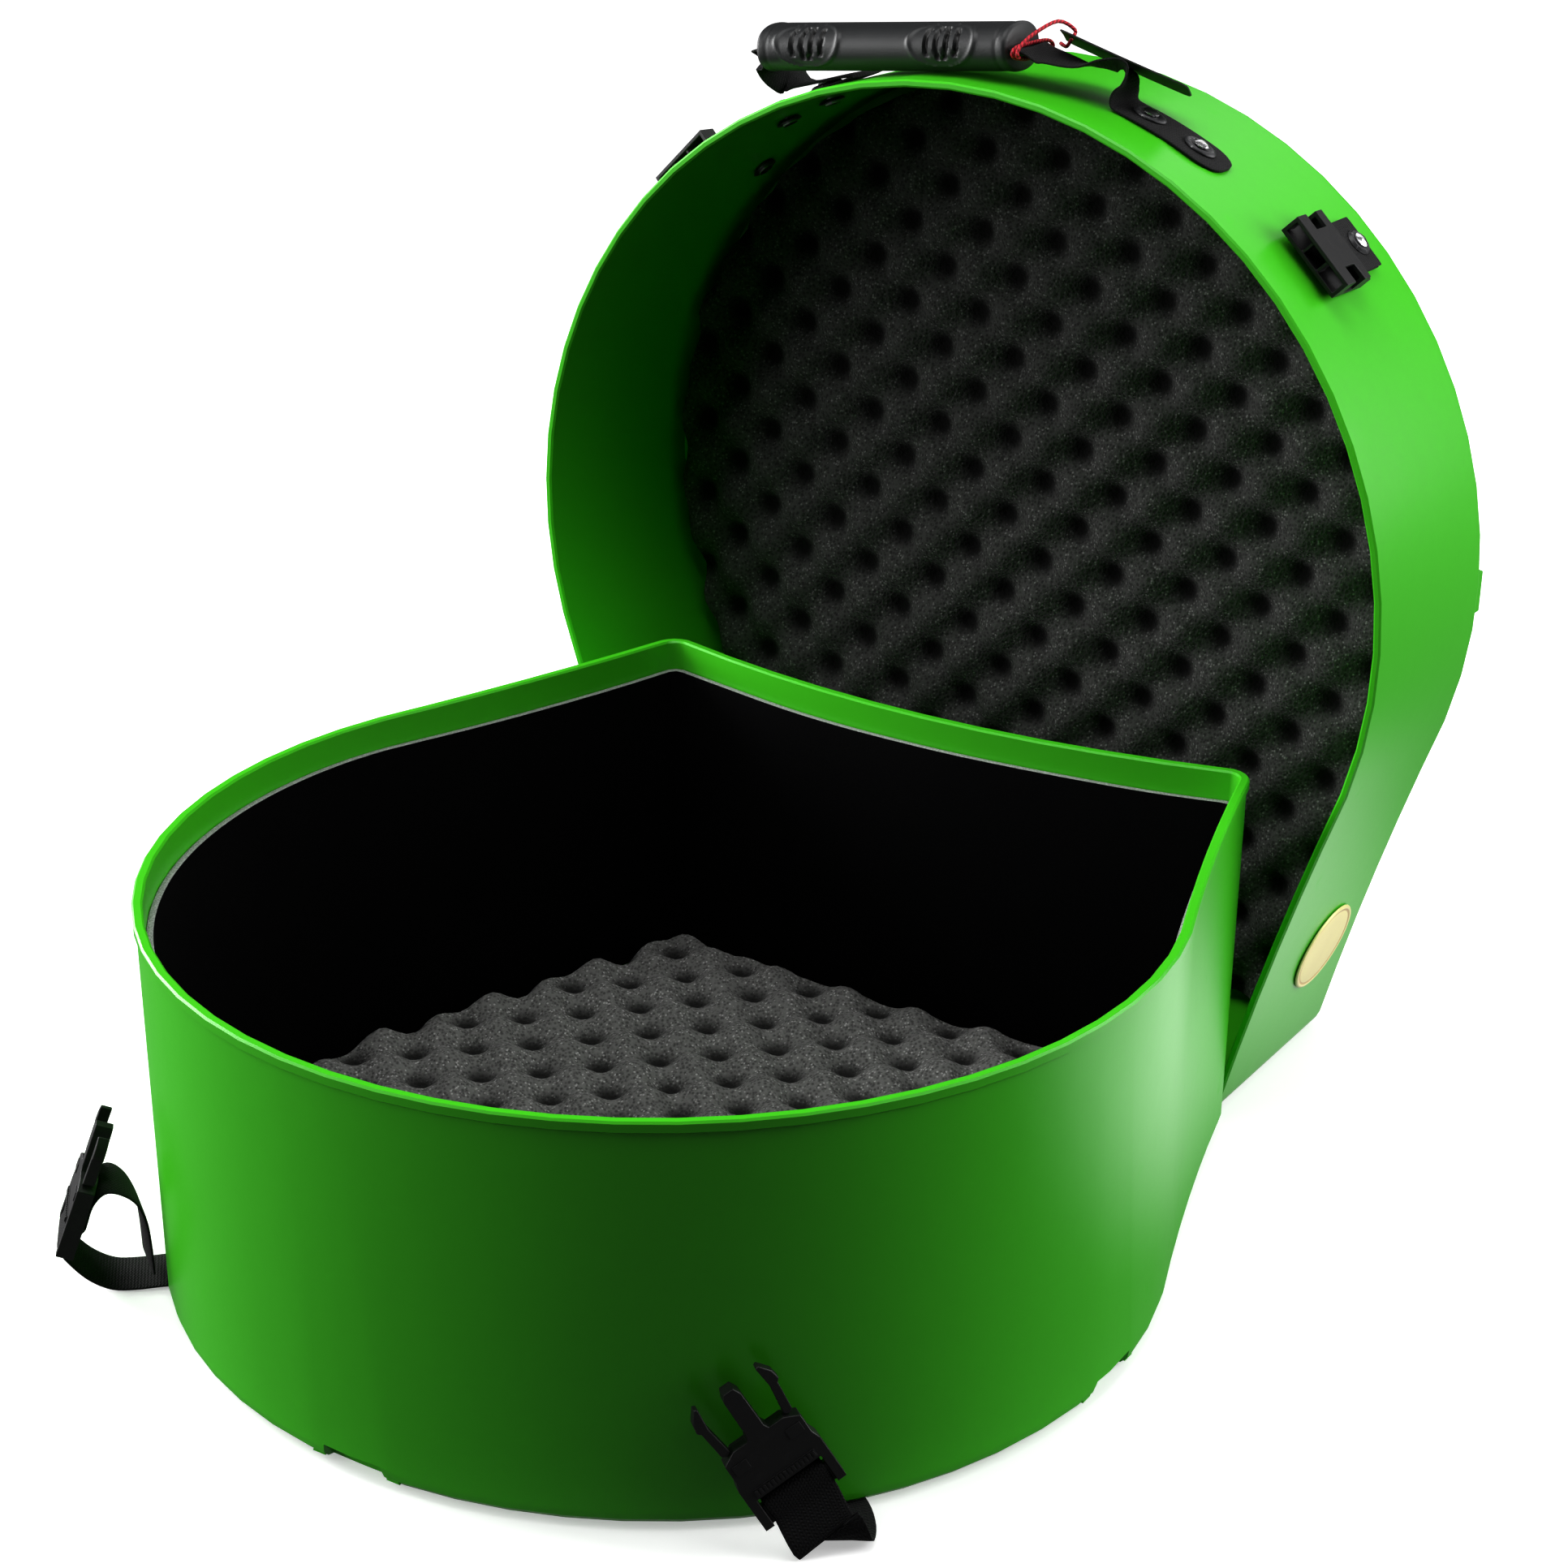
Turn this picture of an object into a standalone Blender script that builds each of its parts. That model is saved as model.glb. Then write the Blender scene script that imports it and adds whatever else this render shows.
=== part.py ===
"""Snare drum case: a D-shaped moulded base with its lid standing open beside it.

The base stands on the floor with the centre of its round end at the origin and its flat end
towards +Y. The lid stands on its own flat end behind the base, its opening towards -Y.
All sizes are in metres.
"""

import math

import bmesh
import bpy
from mathutils import Matrix, Vector

# Plan of the base at its rim
BASE_RADIUS = 0.205
BASE_FLAT_END = 0.2152
CORNER_HALF_WIDTH = 0.1461
CORNER_RADIUS = 0.0105
SIDE_HOLLOW = 0.0019
BASE_END_HOLLOW = 0.0188
BASE_END_HOLLOW_AT_FLOOR = 0.3

# Shells
BASE_HEIGHT = 0.165
BASE_DRAFT = 0.0029
WALL = 0.0033
FLOOR_THICKNESS = 0.0045
EDGE_RADIUS = 0.008
RIM_ROUNDING = 0.0008
BEAD_OUT = 0.001
BEAD_HEIGHT = 0.004
CLEARANCE = 0.0003
INSIDE_CLEARANCE = 0.0008

# Lid
LID_FIT = 0.0012
LID_EXTRA_LENGTH = 0.0057
LID_DEPTH = 0.1153
LID_DRAFT = 0.0024
LID_END_HOLLOW = 0.0041
LID_SHIFT = -0.0107
LID_BEHIND_BASE = 0.0005
LID_LANDING_GAP = 0.001

# Lining and foam
LINING_THICKNESS = 0.003
LINING_BELOW_RIM = 0.0129
FOAM_BASE = 0.010
FOAM_RELIEF = 0.012
FOAM_PITCH = 0.0185
FOAM_MARGIN = 0.002

# Stacking feet on the lid and pockets in the base
POCKET_ANGLES = (0.0, 91.0, -91.0)
POCKET_WIDTH = 0.034
POCKET_HEIGHT = 0.0085
POCKET_DEPTH = 0.008
POCKET_SLANT = 0.004
FOOT_WIDTH = 0.020
FOOT_PROUD = 0.0035
FOOT_SETBACK = 0.009
FOOT_INSET = 0.0025

# Webbing and fasteners
WEBBING_WIDTH = 0.025
WEBBING_THICKNESS = 0.0013
RIVET_SHANK = 0.002
RIVET_HEAD = 0.0036
RIVET_DOME = 0.0016
RIVET_FLANGE = 0.0008
WASHER_RADIUS = 0.0062
WASHER_THICKNESS = 0.0012
HOLE_RADIUS = RIVET_SHANK + CLEARANCE

# Closure straps
STRAP_ANGLES = {"left": -48.7, "right": 51.8}
STRAP_UNDER = 0.034
STRAP_RIVET_BACK = 0.022
RECESS_DEPTH = 0.0026
RECESS_SIDE = 0.0008

# Buckle plug
PLUG_HALF_WIDTH = 0.017
PLUG_THICKNESS = 0.007
PLUG_BAR_LOW = 0.0045
PLUG_BAR_HIGH = 0.0035
PLUG_BAR_THICKNESS = 0.003
PLUG_SLOT = 0.004
PLUG_SHOULDER = 0.028
PLUG_LENGTH = 0.050
PRONG_THICKNESS = 0.0046

# Buckle socket
SOCKET_ANGLE = 45.5
SOCKET_BAR_DEPTH = 0.062
SOCKET_LENGTH = 0.031
SOCKET_HALF_WIDTH = 0.0173
SOCKET_THICKNESS = 0.0092
SOCKET_SKIN = 0.0018
SOCKET_LIFT = 5.0
SOCKET_BAR_RADIUS = 0.0016
SOCKET_TAB_LENGTH = 0.028
SOCKET_RIVET_BEHIND = 0.0215

# Handle
HANDLE_MIDDLE_ANGLE = -2.0
HANDLE_TAB_START = 19.5
HANDLE_TAB_END = 33.0
HANDLE_RIVETS = (22.0, 29.0)
HANDLE_DEPTH = 0.042
GRIP_ALONG = -0.0415
GRIP_RISE = 0.0068
GRIP_DEPTH = 0.026
GRIP_SLOPE = 6.2
GRIP_LENGTH = 0.1237
GRIP_HALF_DEPTH = 0.015
GRIP_HALF_HEIGHT = 0.010
GRIP_EDGE = 0.0015

# Handle webbing: its fold beside the left tab as (degrees before the tab, height off the wall),
# then stations as (sideways, up or off the wall, depth) from the grip's ends and the right tab
FOLD_STATIONS = ((3.5, 0.0017), (1.9, 0.0036))
LEFT_SLACK = ((0.0245, 0.0062, 0.042), (0.0128, 0.0078, 0.040), (0.0030, 0.0084, 0.037))
LEFT_TURN = ((-0.0005, -0.0141, 0.008), (-0.0048, -0.0106, 0.005), (-0.0057, -0.0051, 0.002),
             (-0.0038, -0.0010, 0.0005))
SLACK_FROM_GRIP = ((0.0100, -0.0030, 0.003), (0.0230, -0.0060, 0.008))
SLACK_FROM_TAB = ((-0.0078, 0.0156, -0.004), (-0.0010, 0.0146, -0.001), (0.0012, 0.0096, 0.0),
                  (0.0, 0.0043, 0.0))

# Swing tag: its cord and card as (sideways, up, depth) from the grip's right end
CORD_LOOP = ((0.0045, -0.0041, 0.0018), (0.0045, -0.0037, -0.0090), (0.0046, -0.0015, -0.0134),
             (0.0050, 0.0015, -0.0120), (0.0070, 0.0055, -0.0040), (0.0110, 0.0103, 0.0085),
             (0.0151, 0.0057, 0.0166), (0.0145, 0.0028, 0.0150), (0.0136, 0.0001, 0.0136),
             (0.0105, -0.0005, 0.0162), (0.0065, -0.0005, 0.0178), (0.0045, -0.0017, 0.0170),
             (0.0045, -0.0037, 0.0135))
CARD_START = (0.0100, 0.0045, 0.0140)
CARD_END = (0.0650, -0.0160, 0.0260)

# Badge and swing tag
BADGE_WIDTH = 0.050
BADGE_HEIGHT = 0.040
BADGE_THICKNESS = 0.0012
BADGE_DEPTH = 0.067
BADGE_ALONG = 0.163
TAG_LENGTH = 0.058
TAG_WIDTH = 0.026
TAG_THICKNESS = 0.0006
TAG_CORD_RADIUS = 0.0008
TAG_HOLE_INSET = 0.004
TAG_HOLE_RADIUS = 0.0014

# Mesh fineness
ARC_STEPS = 36
SIDE_STEPS = 6
CORNER_STEPS = 4
END_STEPS = 5
ROUND_STEPS = 12

# Worked out from the sizes above
LID_OFFSET = WALL + LID_FIT
LID_RADIUS = BASE_RADIUS + LID_OFFSET
LID_FLAT_END = BASE_FLAT_END + LID_EXTRA_LENGTH + LID_OFFSET
LID_LEAN = math.atan2(LID_DRAFT, LID_DEPTH)
BASE_SLOPE = math.atan2(BASE_DRAFT, BASE_HEIGHT)


def clear_scene():
    for thing in list(bpy.data.objects):
        bpy.data.objects.remove(thing)


def new_collection(name, hidden=False):
    made = bpy.data.collections.new(name)
    bpy.context.scene.collection.children.link(made)
    made.hide_render = hidden
    return made


def material(name, colour, roughness, metallic=0.0):
    made = bpy.data.materials.new(name)
    made.use_nodes = True
    made.diffuse_color = (*colour, 1.0)
    shader = made.node_tree.nodes["Principled BSDF"]
    shader.inputs["Base Color"].default_value = (*colour, 1.0)
    shader.inputs["Roughness"].default_value = roughness
    shader.inputs["Metallic"].default_value = metallic
    return made


def place(thing, group, parent=None, matrix=None):
    """Puts an object in its collection, at a matrix given in its parent's frame."""
    group.objects.link(thing)
    if parent is not None:
        thing.parent = parent
    if matrix is not None:
        thing.matrix_basis = matrix
    return thing


def add_part(name, mesh, look, parent=None, matrix=None, smooth=True):
    thing = bpy.data.objects.new(name, mesh)
    mesh.materials.clear()
    mesh.materials.append(look)
    if smooth:
        mesh.shade_smooth()
        mesh.set_sharp_from_angle(angle=math.radians(35))
    return place(thing, PARTS, parent, matrix)


def add_empty(name, location, parent=None, rotation=None):
    empty = bpy.data.objects.new(name, None)
    matrix = Matrix.Translation(location)
    if rotation is not None:
        matrix = matrix @ rotation
    return place(empty, PARTS, parent, matrix)


def mesh_from(build, name):
    """Runs a bmesh building function and returns a closed mesh with outward faces."""
    bm = bmesh.new()
    build(bm)
    bmesh.ops.recalc_face_normals(bm, faces=bm.faces)
    mesh = bpy.data.meshes.new(name)
    bm.to_mesh(mesh)
    bm.free()
    return mesh


def box_mesh(low, high, name="box", taper=(1.0, 1.0)):
    """A box between two corners; taper scales the X and Y of its top face."""
    low, high = Vector(low), Vector(high)
    middle = (low + high) / 2

    def build(bm):
        bmesh.ops.create_cube(bm, size=1.0)
        for vert in bm.verts:
            size = high - low
            x, y, z = vert.co
            if z > 0:
                x, y = x * taper[0], y * taper[1]
            vert.co = middle + Vector((x * size.x, y * size.y, z * size.z))

    return mesh_from(build, name)


def rod_mesh(radius, start, end, name="rod", sides=ROUND_STEPS):
    """A plain rod between two points."""
    start, end = Vector(start), Vector(end)
    along = end - start
    turn = along.to_track_quat("Z", "Y").to_matrix().to_4x4()
    matrix = Matrix.Translation((start + end) / 2) @ turn

    def build(bm):
        bmesh.ops.create_cone(bm, cap_ends=True, segments=sides, radius1=radius, radius2=radius,
                              depth=along.length, matrix=matrix)

    return mesh_from(build, name)


def evaluated_mesh(thing):
    """The mesh of an object as its modifiers or its curve make it."""
    bpy.context.view_layer.update()
    graph = bpy.context.evaluated_depsgraph_get()
    return bpy.data.meshes.new_from_object(thing.evaluated_get(graph))


def plate_mesh(outlines, thickness, name="plate"):
    """A flat plate in X and Y, from 2D outlines (the first is the edge, the others are holes)."""
    curve = bpy.data.curves.new(name, "CURVE")
    curve.dimensions = "2D"
    curve.fill_mode = "BOTH"
    curve.extrude = thickness / 2
    for points in outlines:
        line = curve.splines.new("POLY")
        line.points.add(len(points) - 1)
        for spot, (x, y) in zip(line.points, points):
            spot.co = (x, y, 0.0, 1.0)
        line.use_cyclic_u = True
    thing = place(bpy.data.objects.new(name, curve), CUTTERS)
    mesh = evaluated_mesh(thing)
    bpy.data.objects.remove(thing)
    bm = bmesh.new()
    bm.from_mesh(mesh)
    bmesh.ops.remove_doubles(bm, verts=bm.verts, dist=1e-6)
    bmesh.ops.recalc_face_normals(bm, faces=bm.faces)
    bm.to_mesh(mesh)
    bm.free()
    return mesh


def turned_mesh(profile, name="turned", closed=False):
    """A round piece about Z: the (radius, height) profile runs down its outer side."""
    mesh = bpy.data.meshes.new(name)
    bm = bmesh.new()
    spots = [bm.verts.new((radius, 0.0, height)) for radius, height in profile]
    pairs = list(zip(spots, spots[1:]))
    if closed:
        pairs.append((spots[-1], spots[0]))
    for pair in pairs:
        bm.edges.new(pair)
    bm.to_mesh(mesh)
    bm.free()
    thing = place(bpy.data.objects.new(name, mesh), CUTTERS)
    screw = thing.modifiers.new("Turn", "SCREW")
    screw.steps = ROUND_STEPS
    screw.render_steps = ROUND_STEPS
    screw.use_merge_vertices = True
    screw.merge_threshold = 1e-5
    made = evaluated_mesh(thing)
    bpy.data.objects.remove(thing)
    return made


def boolean(target, cutter_mesh, operation, matrix=None, parent=None):
    """Adds a Boolean with a hidden helper that shares the target's parent."""
    helper = bpy.data.objects.new(f"{target.name}_{operation.lower()}", cutter_mesh)
    place(helper, CUTTERS, parent if parent is not None else target.parent, matrix)
    helper.hide_render = True
    helper.display_type = "WIRE"
    step = target.modifiers.new(operation.title(), "BOOLEAN")
    step.operation = operation
    step.solver = "EXACT"
    step.object = helper
    return step


def smooth_path(points, per_span=3):
    """Catmull-Rom curve through points of any dimension."""
    points = [Vector(p) for p in points]
    ends = [points[0] * 2 - points[1]] + points + [points[-1] * 2 - points[-2]]
    path = []
    for before, start, end, after in zip(ends, ends[1:], ends[2:], ends[3:]):
        for step in range(per_span):
            t = step / per_span
            path.append(0.5 * (2 * start + (end - before) * t
                               + (2 * before - 5 * start + 4 * end - after) * t ** 2
                               + (3 * start - before - 3 * end + after) * t ** 3))
    path.append(points[-1])
    return path


def smooth_loop(points, per_span=2):
    """Closed Catmull-Rom curve through points."""
    path = smooth_path(points[-1:] + points + points[:1], per_span)
    return path[per_span:per_span * (len(points) + 1)]


def ribbon_mesh(stations, name="ribbon", per_span=3):
    """Webbing along stations of (centre, across): an open strip made thick by Solidify."""
    centres = smooth_path([centre for centre, across in stations], per_span)
    acrosses = smooth_path([across for centre, across in stations], per_span)
    mesh = bpy.data.meshes.new(name)
    bm = bmesh.new()
    rows = []
    for centre, across in zip(centres, acrosses):
        half = across.normalized() * WEBBING_WIDTH / 2
        rows.append((bm.verts.new(centre - half), bm.verts.new(centre + half)))
    for (a, b), (c, d) in zip(rows, rows[1:]):
        bm.faces.new((a, b, d, c))
    bm.to_mesh(mesh)
    bm.free()
    thing = place(bpy.data.objects.new(name, mesh), CUTTERS)
    solid = thing.modifiers.new("Thickness", "SOLIDIFY")
    solid.thickness = WEBBING_THICKNESS
    solid.offset = 0.0
    made = evaluated_mesh(thing)
    bpy.data.objects.remove(thing)
    return made


def side_normal_angle(radius, flat, corner):
    """Direction, from +X, of the normal of the straight side that touches the round end."""
    reach = math.hypot(corner, flat)
    return math.atan2(flat, corner) - math.acos(min(radius / reach, 0.9999))


def half_outline(radius, flat, corner, inset, end_hollow):
    """Right half of the plan, from the middle of the flat end round to the front."""
    angle = side_normal_angle(radius, flat, corner)
    normal = Vector((math.cos(angle), math.sin(angle)))
    radius, flat = radius - inset, flat - inset
    fillet = max(CORNER_RADIUS - inset, 0.001)
    fillet_y = flat - fillet
    fillet_x = (radius - fillet - normal.y * fillet_y) / normal.x
    points = []
    for step in range(END_STEPS):
        x = fillet_x * step / END_STEPS
        points.append((x, flat - end_hollow * (1 - (x / fillet_x) ** 2)))
    for step in range(CORNER_STEPS + 1):
        turn = math.pi / 2 + (angle - math.pi / 2) * step / CORNER_STEPS
        points.append((fillet_x + fillet * math.cos(turn), fillet_y + fillet * math.sin(turn)))
    start = Vector(points[-1])
    end = normal * radius
    for step in range(1, SIDE_STEPS):
        share = step / SIDE_STEPS
        spot = start.lerp(end, share) - normal * SIDE_HOLLOW * 4 * share * (1 - share)
        points.append(tuple(spot))
    for step in range(ARC_STEPS // 2 + 1):
        turn = angle + (-math.pi / 2 - angle) * step / (ARC_STEPS // 2)
        points.append((radius * math.cos(turn), radius * math.sin(turn)))
    return points


def outline(radius, flat, corner, inset, end_hollow):
    """Whole plan as a closed line of points."""
    right = half_outline(radius, flat, corner, inset, end_hollow)
    left = [(-x, y) for x, y in right[-2:0:-1]]
    return right + left


def base_ring(height, inset):
    """Plan of the base at a height, moved inward from its drafted outer wall."""
    share = height / BASE_HEIGHT
    draft = BASE_DRAFT * (1 - share)
    hollow = BASE_END_HOLLOW * (BASE_END_HOLLOW_AT_FLOOR + (1 - BASE_END_HOLLOW_AT_FLOOR) * share)
    points = outline(BASE_RADIUS, BASE_FLAT_END, CORNER_HALF_WIDTH, inset + draft, hollow)
    return [Vector((x, y, height)) for x, y in points]


def lid_ring(height, inset):
    """Plan of the closed lid at a height above its rim, moved inward from its outer wall."""
    draft = LID_DRAFT * height / LID_DEPTH
    points = outline(BASE_RADIUS, BASE_FLAT_END + LID_EXTRA_LENGTH, CORNER_HALF_WIDTH,
                     inset + draft - LID_OFFSET, LID_END_HOLLOW)
    return [Vector((x, y, height)) for x, y in points]


def loft_mesh(rings, name, closed=False):
    """Skin over rings of equal count: capped at both ends, or closed back onto the first ring."""
    def build(bm):
        rows = [[bm.verts.new(spot) for spot in ring] for ring in rings]
        pairs = list(zip(rows, rows[1:]))
        if closed:
            pairs.append((rows[-1], rows[0]))
        else:
            bm.faces.new(rows[0])
            bm.faces.new(rows[-1])
        for lower, upper in pairs:
            if lower[0].co.z > upper[0].co.z:
                lower, upper = upper, lower
            count = len(lower)
            for i in range(count):
                j = (i + 1) % count
                bm.faces.new((lower[i], lower[j], upper[j]))
                bm.faces.new((lower[i], upper[j], upper[i]))

    return mesh_from(build, name)


def tray_profile(height, floor, bead, inner_heights=()):
    """(height, inset) stations of a tray, from the middle of its outside to that of its inside."""
    stations = []
    for step in range(4):
        turn = math.pi / 2 * step / 3
        stations.append((EDGE_RADIUS * (1 - math.cos(turn)), EDGE_RADIUS * (1 - math.sin(turn))))
    if bead:
        stations.append((height - BEAD_HEIGHT - RIM_ROUNDING, 0.0))
        stations.append((height - BEAD_HEIGHT, -BEAD_OUT))
        stations.append((height - RIM_ROUNDING, -BEAD_OUT))
        stations.append((height, RIM_ROUNDING - BEAD_OUT))
    else:
        stations.append((height - RIM_ROUNDING, 0.0))
        stations.append((height, RIM_ROUNDING))
    stations.append((height, WALL - RIM_ROUNDING))
    stations.append((height - RIM_ROUNDING, WALL))
    stations += [(level, WALL) for level in inner_heights]
    inner = EDGE_RADIUS - WALL
    for step in range(3):
        turn = math.pi / 2 * (1 - step / 2)
        stations.append((floor + inner * (1 - math.cos(turn)), WALL + inner * (1 - math.sin(turn))))
    return stations


def wall_frame(radius, angle, height, slope):
    """Frame on a round wall: X runs round it, Y up it, Z outward; angle is from -Y towards +X."""
    turn = math.radians(angle)
    out = Vector((math.sin(turn), -math.cos(turn), 0.0))
    along = Vector((math.cos(turn), math.sin(turn), 0.0))
    up = Vector((0.0, 0.0, 1.0))
    frame = Matrix((along, up, out)).transposed().to_4x4()
    spot = Matrix.Translation(out * radius + up * height)
    return spot @ frame @ Matrix.Rotation(slope, 4, "X")


def base_wall_frame(angle, height=0.0):
    radius = BASE_RADIUS - BASE_DRAFT * (1 - height / BASE_HEIGHT)
    return wall_frame(radius, angle, height, BASE_SLOPE)


def lid_wall_frame(angle, depth):
    radius = LID_RADIUS - LID_DRAFT * depth / LID_DEPTH
    return wall_frame(radius, angle, depth, -LID_LEAN)


def lid_point(x, up, depth):
    """A point of the closed lid from its place right, up and back on the standing lid."""
    return Vector((x, -up, depth))


def rivet_mesh(grip_top, grip_bottom, flange):
    """Domed rivet along Z through a stack between two heights; flange is its tail radius."""
    top = grip_top + CLEARANCE
    low = grip_bottom
    profile = [(0.0, top + RIVET_DOME), (RIVET_HEAD * 0.6, top + RIVET_DOME * 0.75),
               (RIVET_HEAD, top + RIVET_DOME * 0.25), (RIVET_HEAD, top), (RIVET_SHANK, top)]
    if flange > RIVET_SHANK:
        low -= CLEARANCE
        profile += [(RIVET_SHANK, low), (flange, low), (flange, low - RIVET_FLANGE),
                    (0.0, low - RIVET_FLANGE)]
    else:
        profile += [(RIVET_SHANK, low), (0.0, low)]
    return turned_mesh(profile, "rivet")


def washer_mesh(bottom, radius=WASHER_RADIUS):
    """Cupped ring standing on a height, with its hole clear of the rivet."""
    top = bottom + WASHER_THICKNESS
    profile = [(HOLE_RADIUS, top), (radius * 0.85, top), (radius, bottom), (HOLE_RADIUS, bottom)]
    return turned_mesh(profile, "washer", closed=True)


def cut_hole(target, frame, top, bottom, parent=None, radius=HOLE_RADIUS):
    rod = rod_mesh(radius, (0, 0, bottom), (0, 0, top), "hole")
    boolean(target, rod, "DIFFERENCE", frame, parent)


def build_base(looks):
    """Base shell with its stacking pockets, lining and foam."""
    lining_low = FLOOR_THICKNESS + POCKET_HEIGHT + 2 * CLEARANCE
    lining_high = BASE_HEIGHT - LINING_BELOW_RIM
    rings = [base_ring(height, inset) for height, inset in
             tray_profile(BASE_HEIGHT, FLOOR_THICKNESS, True, (lining_high, lining_low))]
    shell = add_part("base_shell", loft_mesh(rings, "base_shell"), looks["shell"])
    for angle in POCKET_ANGLES:
        frame = base_wall_frame(angle) @ Matrix.Rotation(-math.pi / 2, 4, "X")
        boolean(shell, pocket_mesh(WALL), "UNION", frame)
    for angle in POCKET_ANGLES:
        frame = base_wall_frame(angle) @ Matrix.Rotation(-math.pi / 2, 4, "X")
        boolean(shell, pocket_mesh(0.0), "DIFFERENCE", frame)

    outer = WALL + CLEARANCE
    inner = outer + LINING_THICKNESS
    rings = [base_ring(lining_low, outer), base_ring(lining_high, outer),
             base_ring(lining_high, inner), base_ring(lining_low, inner)]
    add_part("base_wall_lining", loft_mesh(rings, "base_wall_lining", closed=True),
             looks["lining"])

    bottom = FLOOR_THICKNESS + CLEARANCE
    inset = inner + FOAM_MARGIN
    foam = add_part("base_floor_foam", foam_mesh(bottom, 1), looks["foam"], smooth=False)
    prism = loft_mesh([base_ring(bottom - 0.02, inset), base_ring(bottom + 0.08, inset)], "edge")
    boolean(foam, prism, "INTERSECT")
    for angle in POCKET_ANGLES:
        frame = base_wall_frame(angle) @ Matrix.Rotation(-math.pi / 2, 4, "X")
        boolean(foam, pocket_mesh(WALL + CLEARANCE), "DIFFERENCE", frame)
    return shell, foam


def pocket_mesh(margin):
    """Pocket for a stacking foot, or with a margin the wall round it, open below and outside."""
    half = POCKET_WIDTH / 2 + margin
    depth = POCKET_DEPTH + margin
    top = POCKET_HEIGHT + margin
    outside = 0.02 if margin == 0.0 else 2 * CLEARANCE - WALL
    bottom = -0.01 if margin == 0.0 else FLOOR_THICKNESS / 2
    taper = ((half - POCKET_SLANT) / half, 1.0)
    return box_mesh((-half, -outside, bottom), (half, depth, top), "pocket", taper)


def foam_mesh(bottom, direction):
    """Egg-crate pad: peaks and dips take turns on a diagonal grid above a flat bottom."""
    reach = BASE_RADIUS + BASE_FLAT_END
    count = math.ceil(reach / FOAM_PITCH) + 1
    half = count * FOAM_PITCH / 2

    def build(bm):
        bmesh.ops.create_grid(bm, x_segments=count, y_segments=count, size=half)
        top = list(bm.faces)
        for vert in bm.verts:
            column = round((vert.co.x + half) / FOAM_PITCH)
            row = round((vert.co.y + half) / FOAM_PITCH)
            crest = 0.5 + 0.5 * (-1) ** (column + row)
            vert.co.z = bottom + direction * (FOAM_BASE + FOAM_RELIEF * crest)
        top = bmesh.ops.poke(bm, faces=top)["faces"]
        lower = bmesh.ops.extrude_face_region(bm, geom=top, use_keep_orig=True)
        for vert in lower["geom"]:
            if isinstance(vert, bmesh.types.BMVert):
                vert.co.z = bottom

    mesh = mesh_from(build, "foam")
    mesh.transform(Matrix.Translation((0.0, (BASE_FLAT_END - BASE_RADIUS) / 2, 0.0)))
    return mesh


def lid_pole():
    """Where the tipping axis lies, and the place of the standing lid's rim centre."""
    up = Vector((math.sin(LID_LEAN), math.cos(LID_LEAN)))
    foot = BASE_FLAT_END - BASE_DRAFT + LID_BEHIND_BASE
    standing = Vector((foot, 0.0)) + up * LID_FLAT_END
    closed = Vector((0.0, BASE_HEIGHT + LID_LANDING_GAP))
    turn = math.pi / 2 + LID_LEAN
    step = closed - standing
    side = Vector((-step.y, step.x))
    pole = (standing + closed) / 2 + side / (2 * math.tan(turn / 2))
    return pole, standing, turn


def build_lid_frames():
    """Empty on the tipping axis, and below it the frame of the lid as if closed."""
    pole, standing, turn = lid_pole()
    axis = add_empty("lid_axis", (LID_SHIFT, pole.x, pole.y))
    offset = Vector((0.0, standing.x - pole.x, standing.y - pole.y))
    return add_empty("lid_frame", offset, axis, Matrix.Rotation(-turn, 4, "X"))


def build_lid(looks, lid):
    rings = [lid_ring(LID_DEPTH - height, inset) for height, inset in
             tray_profile(LID_DEPTH, WALL, False)]
    shell = add_part("lid_shell", loft_mesh(rings, "lid_shell"), looks["shell"], lid)
    for angle in POCKET_ANGLES:
        frame = lid_wall_frame(angle, LID_DEPTH)
        half = FOOT_WIDTH / 2
        foot = box_mesh((-half, -FOOT_SETBACK, -FOOT_SETBACK), (half, FOOT_PROUD, -FOOT_INSET),
                        "foot", (0.9, 1.0))
        boolean(shell, foot, "UNION", frame)

    bottom = LID_DEPTH - WALL - CLEARANCE
    inset = WALL + FOAM_MARGIN
    foam = add_part("lid_foam", foam_mesh(bottom, -1), looks["foam"], lid, smooth=False)
    foam_low = bottom - FOAM_BASE - FOAM_RELIEF - 0.01
    prism = loft_mesh([lid_ring(foam_low, inset + EDGE_RADIUS / 2),
                       lid_ring(bottom + 0.01, inset + EDGE_RADIUS / 2)], "edge")
    boolean(foam, prism, "INTERSECT")
    return shell


def fasten(name, look, frame, parent, cut, grip_top, grip_bottom, washer_top=None, inside=False):
    """Rivet with its washers in a frame whose Z points out of the wall; cuts its holes."""
    flange = RIVET_HEAD if inside else RIVET_SHANK
    if inside:
        grip_bottom -= INSIDE_CLEARANCE + WASHER_THICKNESS
        add_part(f"{name}_backing", washer_mesh(grip_bottom), look["washer"], parent, frame)
    washer = washer_mesh(grip_top + CLEARANCE)
    add_part(f"{name}_washer", washer, look["washer"], parent, frame)
    top = grip_top + CLEARANCE + WASHER_THICKNESS
    rivet = rivet_mesh(top, grip_bottom, flange)
    add_part(f"{name}_rivet", rivet, look["steel"], parent, frame)
    for target in cut:
        cut_hole(target, frame, grip_top + 0.002, grip_bottom - 0.002, parent)


def in_grip(share):
    """Point on the grip's axis, from -0.5 at its left end to 0.5 at its right end."""
    slope = math.radians(GRIP_SLOPE)
    along = lid_point(math.cos(slope), math.sin(slope), 0.0)
    return lid_point(GRIP_ALONG, LID_RADIUS + GRIP_RISE, GRIP_DEPTH) + along * GRIP_LENGTH * share


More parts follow.
